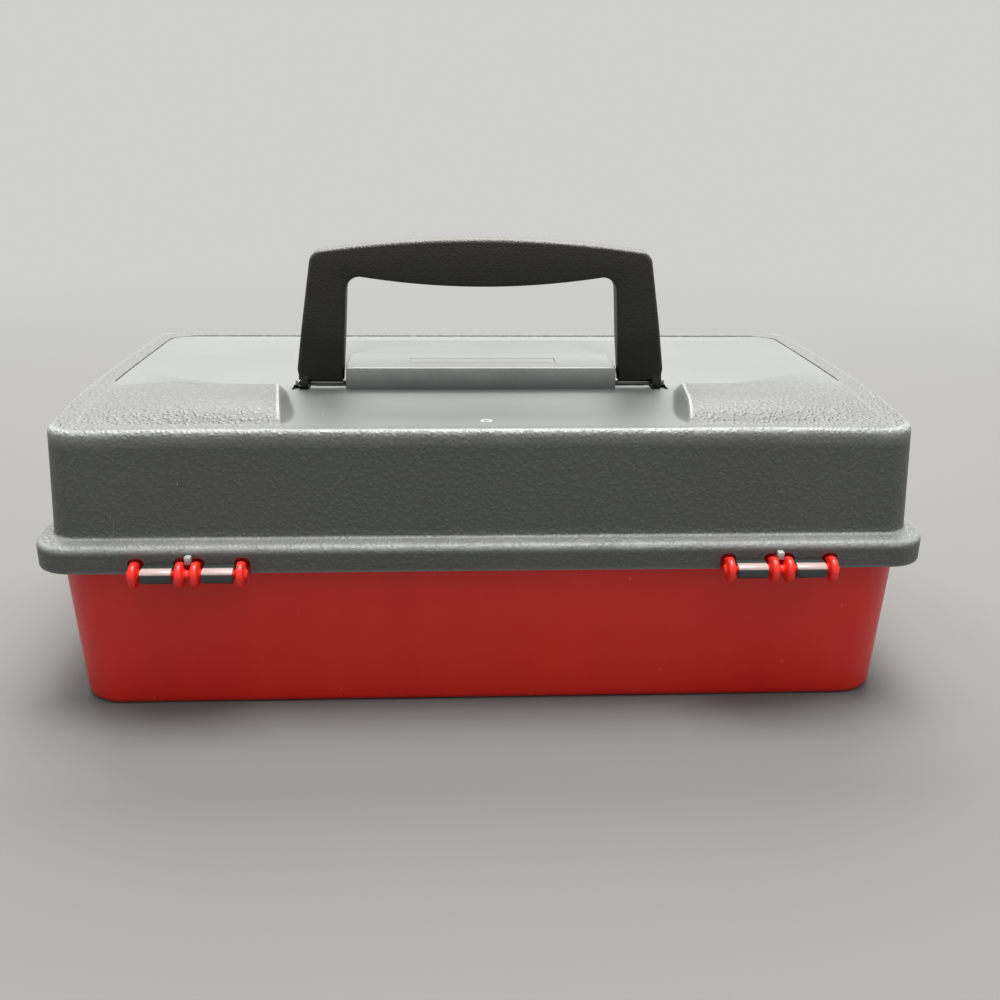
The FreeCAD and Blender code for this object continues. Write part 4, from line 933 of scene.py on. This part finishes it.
# Insets count from the lid's flange
tub = {"groundInset": 9.1, "rimInset": 6.0, "corner": 18.0, "rim": 70.0, "wall": 2.5, "floor": 2.5,
       "round": 3.0, "lipInset": 3.1, "lipLow": 66.5, "lipCorner": 12.9, "footBand": 14.0, "footRecess": 0.8,
       "footCorner": 11, "innerRound": 2, "levels": (8, 16, 26, 36, 46, 56, 64, 66.3),
       "innerLevels": (69.7, 66, 56, 46, 36, 26, 16, 8)}


def makeTub():
    p = tub
    foot, rim, lip, low = p["groundInset"], p["rim"], p["lipInset"], p["lipLow"]
    rings = []

    def insetAt(z):
        return foot + (p["rimInset"] - foot) * z / rim

    def add(inset, z, corner=None):
        corner = p["corner"] + (foot - inset) * 0.5 if corner is None else corner
        rings.append(roundedRing(halfLength - inset, halfWidth - inset, max(corner, 1.0), z, 12, 8))

    recess = foot + p["footBand"]
    add(recess, p["footRecess"], p["footCorner"])
    add(recess, 0.25, p["footCorner"])
    add(recess - 0.3, 0.0, p["footCorner"] + 0.3)
    add(foot + p["round"], 0.0, p["corner"] - p["round"])
    for step in range(1, 7):
        angle = math.radians(15 * step)
        inset = insetAt(p["round"]) + p["round"] * (1 - math.sin(angle))
        add(inset, p["round"] * (1 - math.cos(angle)), p["corner"] - p["round"] * (1 - math.sin(angle)))
    for z in p["levels"]:
        add(insetAt(z), z)
    # The lip's step, its rolled edge and the wall's top
    add(insetAt(low) - 0.15, low)
    add(lip + 0.25, low, p["lipCorner"])
    add(lip, low + 0.3, p["lipCorner"])
    add(lip, rim - 0.4, p["lipCorner"])
    add(lip + 0.4, rim, p["lipCorner"] - 0.3)
    add(insetAt(rim) + p["wall"] - 0.3, rim, 15.8)
    for z in p["innerLevels"]:
        add(insetAt(z) + p["wall"], z, p["corner"] - p["wall"] + z / rim * 1.5)
    for step in range(7):
        angle = math.radians(15 * step)
        inwards = p["innerRound"] * (1 - math.cos(angle))
        add(insetAt(4.5) + p["wall"] + inwards, p["floor"] + p["innerRound"] * (1 - math.sin(angle)),
            p["corner"] - p["wall"] - inwards)
    made = stackedRings("tubShell", rings)
    smoothShaded(made, 34)
    return dress(made, tubPlastic, "base", ("base_tub",))


def repeatTree(name, material):
    # Sets a master piece on every point of a carrier mesh
    tree = bpy.data.node_groups.new(name, "GeometryNodeTree")
    for label, inOrOut, kind in (("Geometry", "INPUT", "Geometry"), ("Master", "INPUT", "Object"),
                                 ("Scale", "INPUT", "Float"), ("Geometry", "OUTPUT", "Geometry")):
        tree.interface.new_socket(label, in_out=inOrOut, socket_type="NodeSocket" + kind)
    add = partial(addNode, tree)
    given = add("NodeGroupInput").outputs
    master = add("ObjectInfo", {"Object": given["Master"]}, transform_space="ORIGINAL").outputs["Geometry"]
    copies = add("InstanceOnPoints", {"Points": given["Geometry"], "Instance": master,
                                      "Scale": given["Scale"]})
    real = add("RealizeInstances", {"Geometry": copies})
    add("NodeGroupOutput", {0: add("SetMaterial", {"Geometry": real, "Material": material})})
    return tree


def repeated(name, master, places, material):
    # One mesh with the master at each place, made by Geometry Nodes
    carrier = meshObject(name, places, [])
    tree = repeatTree(name + "Tree", material)
    step = carrier.modifiers.new("repeat", "NODES")
    step.node_group = tree
    given = {"Master": master, "Scale": 1.0}
    for item in tree.interface.items_tree:
        if item.in_out == "INPUT" and item.name in given:
            step[item.identifier] = given[item.name]
    applied(carrier)
    bpy.data.objects.remove(master)
    return carrier


def makeHingeSpools():
    # Discs and rods on the tub: the rod swells into each disc
    half, radius, rod = hinge["discWidth"] / 2, hinge["discRadius"], hinge["rod"]
    # From the disc's middle outwards: distance from its face, and radius
    side = ((-0.8, radius - 0.05), (-0.35, radius - 0.35), (-0.12, radius - 0.9), (0.0, 2.9),
            (0.35, rod + 0.35), (1.0, rod - 0.02), (1.0, 0.0))
    profile = [(-half - along, level) for along, level in reversed(side)] + [(0.0, radius)]
    profile += [(half + along, level) for along, level in side]
    master = smoothShaded(turned("discMaster", profile, 44, (0, 0, 0)), 60)
    offsets = (-hinge["outer"], -hinge["inner"], hinge["inner"], hinge["outer"])
    places = [(sign * hinge["place"] + offset, hinge["y"], hinge["z"])
              for sign in (-1, 1) for offset in offsets]
    discs = repeated("hingeDiscs", master, places, hingeRedPaintedBright)
    dress(discs, hingeRedPaintedBright, "base")
    parts = []
    reach = hinge["outer"]
    for sign in (-1, 1):
        middle = sign * hinge["place"]
        parts.append(turned("rod", ((-reach, 0), (-reach, rod), (reach, rod), (reach, 0)), 28,
                            (middle, hinge["y"], hinge["z"])))
        for offset in offsets:
            x, half, high = middle + offset, hinge["lugHalf"], hinge["lugHigh"]
            lug = boxObject("lug", (x - half, hinge["y"] + 0.5, hinge["z"] - high),
                            (x + half, hinge["lugRoot"], hinge["z"] + high))
            parts.append(bevelled(lug, 0.5, 3))
    finished("hingeRods", parts, 40, hingeRedPaintedBright, "base")


tubFittings = {
    # Distance out and radius of the bosses that carry the arms
    "boss": ((160.8, 1.6), (160.8, 5.5), (161.2, 6.0), (168.6, 6.0), (168.6, 0)),
    "bossPlaces": ((0, -61.6, 55.1), (0, -21.6, 55.1)),
    "earNear": 5.0, "earFar": 8.0, "earRoot": 94.0, "earTip": 105.0, "earHeight": 54.0, "earHalf": 2.4,
    "earRound": 0.35,
}


def makeTubFittings():
    # Bosses that carry the arms, and the latch's ears
    p = tubFittings
    parts = []
    root, tip, height, half = p["earRoot"], p["earTip"], p["earHeight"], p["earHalf"]
    outline = [(root, height - half), *arc(tip, height, half, -90, 180, 12), (tip, height + half),
               (root, height + half)]
    for sign in (-1, 1):
        parts += [turned("boss", p["boss"], 40, place, sign) for place in p["bossPlaces"]]
        ear = extruded("ear", outline, *span(sign, p["earNear"], p["earFar"]))
        parts.append(bevelled(ear, p["earRound"], 2, 50))
    return finished("tubFittings", parts, 40, tubPlastic, "base")


makeTub()
makeHingeSpools()
makeTubFittings()
print("base made")


# Handle: rounded sections from foot to foot, so that every edge is rolled

handle = {
    # Where the pins' axis lies
    "y": -9.5, "z": 114.5,
    "thickness": 12.0, "footThickness": 4.6, "taper": 21.0, "round": 1.9, "capRound": 0.8, "capInset": 0.7,
    # Corner, crown and underside of the grip, from the pins' axis: (across, height)
    "outerCorner": ((-82.4, 2.6), (-73.6, 58.6), (-40, 61.6)),
    "innerCorner": ((-61.5, 2.6), (-58.5, 48.1), (-30, 46.0)),
    "cornerRadius": 6.0, "crown": 64.1, "underside": 43.5, "foot": 1.2,
    # The leg is widest a little above its foot
    "legOuter": ((1.2, -81.2), (5.5, -82.3)), "legInner": (1.2, -61.5), "legSteps": 14, "gripSteps": 44,
    "earNear": 77.6, "earFar": 81.6, "earRadius": 3.5, "earHole": 1.35,
    "earShoulder": ((2.6, 3.0), (2.3, 7.0), (-2.3, 7.0), (-2.6, 3.0)),
}


def arcThrough(start, middle, end, steps):
    # Points of the circle through three points, the first left out
    (ax, ay), (bx, by), (cx, cy) = start, middle, end
    a, b, c = (x * x + y * y for x, y in (start, middle, end))
    d = 2 * (ax * (by - cy) + bx * (cy - ay) + cx * (ay - by))
    ux = (a * (by - cy) + b * (cy - ay) + c * (ay - by)) / d
    uy = (a * (cx - bx) + b * (ax - cx) + c * (bx - ax)) / d
    radius = math.hypot(ax - ux, ay - uy)
    first, between, last = (math.atan2(y - uy, x - ux) for x, y in (start, middle, end))
    turn = 2 * math.pi
    if (between - first) % turn <= (last - first) % turn:
        sweep = (last - first) % turn
    else:
        sweep = -((first - last) % turn)
    angles = [first + sweep * step / steps for step in range(1, steps + 1)]
    return [(ux + radius * math.cos(angle), uy + radius * math.sin(angle)) for angle in angles]


def roundedCorner(points, radius, steps=9):
    # The rounded middle of three points
    before, here, after = (Vector(point) for point in points)
    before, after = (before - here).normalized(), (after - here).normalized()
    half = before.angle(after) / 2
    reach = radius / math.tan(half)
    centre = here + (before + after).normalized() * (radius / math.sin(half))
    start = here + before * reach - centre
    turn = start.angle_signed(here + after * reach - centre)
    made = []
    for step in range(steps + 1):
        cosine, sine = math.cos(-turn * step / steps), math.sin(-turn * step / steps)
        made.append((centre.x + start.x * cosine - start.y * sine,
                     centre.y + start.x * sine + start.y * cosine))
    return made


def handleStations():
    # Pairs of (outer, inner) points from the left foot over the grip to the right foot
    outerCorner = roundedCorner(handle["outerCorner"], handle["cornerRadius"])
    innerCorner = roundedCorner(handle["innerCorner"], handle["cornerRadius"])
    foot, legs = handle["foot"], handle["legSteps"]
    (outerX, outerZ), (innerX, innerZ) = outerCorner[0], innerCorner[0]
    (footZ, footX), (wideZ, wideX) = handle["legOuter"]
    left = []
    for step in range(legs):
        share = (step / legs) ** 1.2
        outer = foot + (outerZ - foot) * share
        inner = foot + (innerZ - foot) * share
        left.append(((float(np.interp(outer, (footZ, wideZ, outerZ), (footX, wideX, outerX))), outer),
                     (float(np.interp(inner, (foot, innerZ), (handle["legInner"][1], innerX))), inner)))
    left += list(zip(outerCorner, innerCorner))
    (outerX, outerZ), (innerX, innerZ) = outerCorner[-1], innerCorner[-1]
    grip = arcThrough((innerX, innerZ), (0, handle["underside"]), (-innerX, innerZ), handle["gripSteps"])
    crown = arcThrough((outerX, outerZ), (0, handle["crown"]), (-outerX, outerZ), handle["gripSteps"])
    right = [tuple((-x, z) for x, z in pair) for pair in reversed(left)]
    return left + list(zip(crown, grip))[:-1] + right


def handleSection(outer, inner, half, radius, steps=5):
    # A rounded section across the outline: (x, y, z) points and how near each is to the outer edge
    run = Vector((inner[0] - outer[0], inner[1] - outer[1]))
    length = run.length
    run = run / length
    radius = min(radius, half * 0.85, length * 0.4)
    ring = []
    for cornerU, sign, start in ((radius, -1, 180), (length - radius, -1, 270), (length - radius, 1, 0),
                                 (radius, 1, 90)):
        ring += [((outer[0] + run.x * u, v, outer[1] + run.y * u), u)
                 for u, v in arc(cornerU, sign * (half - radius), radius, start, 90, steps)]
    return ring


def makeHandle():
    p = handle
    sections = []
    wear = []
    stations = handleStations()
    last = len(stations) - 1
    # The first and last sections are drawn in, which rounds the feet
    for number, isCap in [(0, True)] + [(number, False) for number in range(last + 1)] + [(last, True)]:
        outer, inner = stations[number]
        level = (outer[1] + inner[1]) / 2
        share = max(0.0, min(1.0, (level - 2) / p["taper"]))
        half = p["footThickness"] / 2 + (p["thickness"] - p["footThickness"]) / 2 * share
        lift = 0.5 if not isCap and number in (0, last) else 0.0
        if isCap:
            outer, inner = (outer[0] * 0.992, outer[1]), (inner[0] * 1.012, inner[1])
            half -= p["capInset"]
        section = handleSection(outer, inner, half, p["capRound"] if isCap else p["round"])
        sections.append([(x, p["y"] + y, p["z"] + z + lift) for (x, y, z), along in section])
        # Paler near each face's outer edge and more towards the top: rubbed wear and a painted highlight
        for (x, y, z), along in section:
            edge = math.exp(-((along - 0.7) / 0.8) ** 2) * (abs(y) > half - 2.2)
            wear.append(edge * (0.3 + 0.7 * max(0.0, min(1.0, (level - 40) / 18))))
    made = stackedRings("handleGrip", sections)
    setValues(made, "wear", wear)
    smoothShaded(made, 30)
    parts = [made]
    outline = arc(p["y"], p["z"], p["earRadius"], 180, 180, 20)
    outline += [(p["y"] + y, p["z"] + z) for y, z in p["earShoulder"]]
    hole = p["earHole"]
    for sign in (-1, 1):
        near, far = span(sign, p["earNear"], p["earFar"])
        ear = bevelled(extruded("ear", outline, near, far), 0.3, 2, 50)
        cutOut(ear, [turned("hole", ((near - 3, 0), (near - 3, hole), (far + 3, hole), (far + 3, 0)), 28,
                            (0, p["y"], p["z"]))])
        parts.append(smoothShaded(ear, 40))
    made = merged("handleGrip", parts)
    return dress(made, handlePlastic, "handle", ("handle",))


# The eye's place counts from the pins' axis, and its turn is in degrees
pins = {"near": 58.0, "far": 83.4, "radius": 0.95, "tipRadius": 0.7, "tip": 0.25,
        "eyePlace": (-80.9, -3.3, 0.4), "eyeReach": 1.1, "eyeWire": 0.38, "eyeTurn": 38}


def makeHandlePins():
    # Thin rods below the legs, held by the lid
    y, z = handle["y"], handle["z"]
    radius, tipRadius, tip = pins["radius"], pins["tipRadius"], pins["tip"]
    parts = []
    for sign in (-1, 1):
        near, far = span(sign, pins["near"], pins["far"])
        profile = ((near, 0), (near, tipRadius), (near + tip, radius), (far - tip, radius), (far, tipRadius),
                   (far, 0))
        parts.append(turned("rod", profile, 24, (0, y, z)))
    finished("handlePins", parts, 50, pinSteel, "lid",
             ("handle_pin_left", "handle_pin_right"))


def makeHandleEye():
    # A small rolled eye at the left ear
    points = []
    faces = []
    around, through = 28, 12
    wire = pins["eyeWire"]
    turn = math.radians(pins["eyeTurn"])
    placeX, placeY, placeZ = pins["eyePlace"]
    for step in range(around):
        angle = 2 * math.pi * step / around
        for part in range(through):
            small = 2 * math.pi * part / through
            reach = pins["eyeReach"] + wire * math.cos(small)
            a, b, c = reach * math.cos(angle), wire * math.sin(small), reach * math.sin(angle)
            points.append((placeX + a * math.cos(turn) - b * math.sin(turn),
                           handle["y"] + placeY + a * math.sin(turn) + b * math.cos(turn),
                           handle["z"] + placeZ + c))
        faces += ringFaces(step * through, (step + 1) % around * through, through)
    eye = smoothShaded(outwards(meshObject("handleEye", points, faces)), 60)
    dress(eye, platedSteel, "handle")


makeHandle()
makeHandlePins()
makeHandleEye()
print("handle made")


# What stays from the frame takes its worked material

keptMaterials = {"rivet": platedSteel, "arm": platedSteel, "link": platedSteel, "pin": pinSteel,
                 "tray": trayPlastic, "divider": trayPlastic, "latch_lever": latchPlastic,
                 "latch_bail": bailWire}

for name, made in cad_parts.items():
    for word, material in keptMaterials.items():
        if word in name:
            made.data.materials.clear()
            made.data.materials.append(material)
            break


# Floor, light and camera

studio = {
    "paper": "#6b6b6a", "sky": 0.62, "skyColour": (1, 0.998, 0.992, 1), "fadeNear": 0.4, "fadeFar": 1.15,
    "groundReach": 9,
    # Place, target, width, depth and watts. A broad panel low behind the box gives the top its
    # sheen, and a softbox overhead casts the rim's shadow.
    "lamps": {"sheenLow": ((0.0, 1.75, 0.85), (0.0, 0.0, 0.12), 2.6, 0.7, 9.0),
              "sheenHigh": ((0.0, 1.2, 1.5), (0.0, 0.0, 0.12), 2.2, 0.9, 64.0),
              "overheadBox": ((0.1, 0.05, 1.8), (0.0, 0.0, 0.1), 1.0, 0.8, 62.0),
              "frontBox": ((0.25, -1.0, 1.7), (0.0, -0.1, 0.05), 0.6, 0.5, 3.0)},
    "lampColour": (1.0, 0.99, 0.965),
    # Fitted to the photo with the hinge side's flange face at zero depth: place, right, up, ahead
    "lens": 38.88, "camera": (-0.01478, -0.4869, 0.23408), "right": (0.99888, -0.04617, 0.01032),
    "up": (0.00634, 0.34675, 0.93793), "ahead": (0.04688, 0.93682, -0.34665),
}


def paperMaterial():
    # A pale paper ground that keeps the object's shadow and fades into the lit backdrop
    material, add, shader, where = newMaterial("groundPaper")
    feed(shader, {"Base Color": studio["paper"], "Roughness": 1.0, "Specular IOR Level": 0.1})
    reach = add("VectorMath", {0: where}, operation="LENGTH").outputs["Value"]
    fade = add("MapRange", {"Value": reach, "From Min": studio["fadeNear"], "From Max": studio["fadeFar"]},
               interpolation_type="SMOOTHSTEP")
    glow = add("Emission", {"Color": studio["skyColour"], "Strength": studio["sky"]})
    both = add("MixShader", {0: fade, 1: shader, 2: glow})
    feed(material.node_tree.nodes["Material Output"], {"Surface": both})
    return material


def stageScene():
    steps = 64
    points = [(0, 0, 0)] + [(x, y, 0) for x, y in arc(0, 0, studio["groundReach"], 0, 360, steps)[:-1]]
    floor = meshObject("ground", points, [(0, 1 + s, 1 + (s + 1) % steps) for s in range(steps)], 1.0)
    floor.data.materials.append(paperMaterial())
    scene = bpy.context.scene
    world = bpy.data.worlds.new("studio")
    scene.world = world
    world.use_nodes = True
    feed(world.node_tree.nodes["Background"], {"Color": studio["skyColour"], "Strength": studio["sky"]})
    for name, (place, target, width, depth, power) in studio["lamps"].items():
        lamp = bpy.data.lights.new(name, "AREA")
        lamp.shape = "RECTANGLE"
        lamp.size = width
        lamp.size_y = depth
        lamp.energy = power
        lamp.color = studio["lampColour"]
        made = bpy.data.objects.new(name, lamp)
        scene.collection.objects.link(made)
        made.location = place
        made.rotation_euler = (Vector(target) - Vector(place)).to_track_quat("-Z", "Y").to_euler()
    camera = bpy.data.objects.new("camera", bpy.data.cameras.new("camera"))
    scene.collection.objects.link(camera)
    camera.data.lens = studio["lens"]
    camera.data.sensor_width = 36.0
    turn = Matrix((studio["right"], studio["up"], -Vector(studio["ahead"]))).transposed().to_4x4()
    camera.matrix_world = Matrix.Translation(studio["camera"]) @ turn
    camera.data.clip_start = 0.01
    camera.data.clip_end = 40.0
    scene.camera = camera
    scene.view_settings.view_transform = "Standard"


stageScene()
print("stage set")
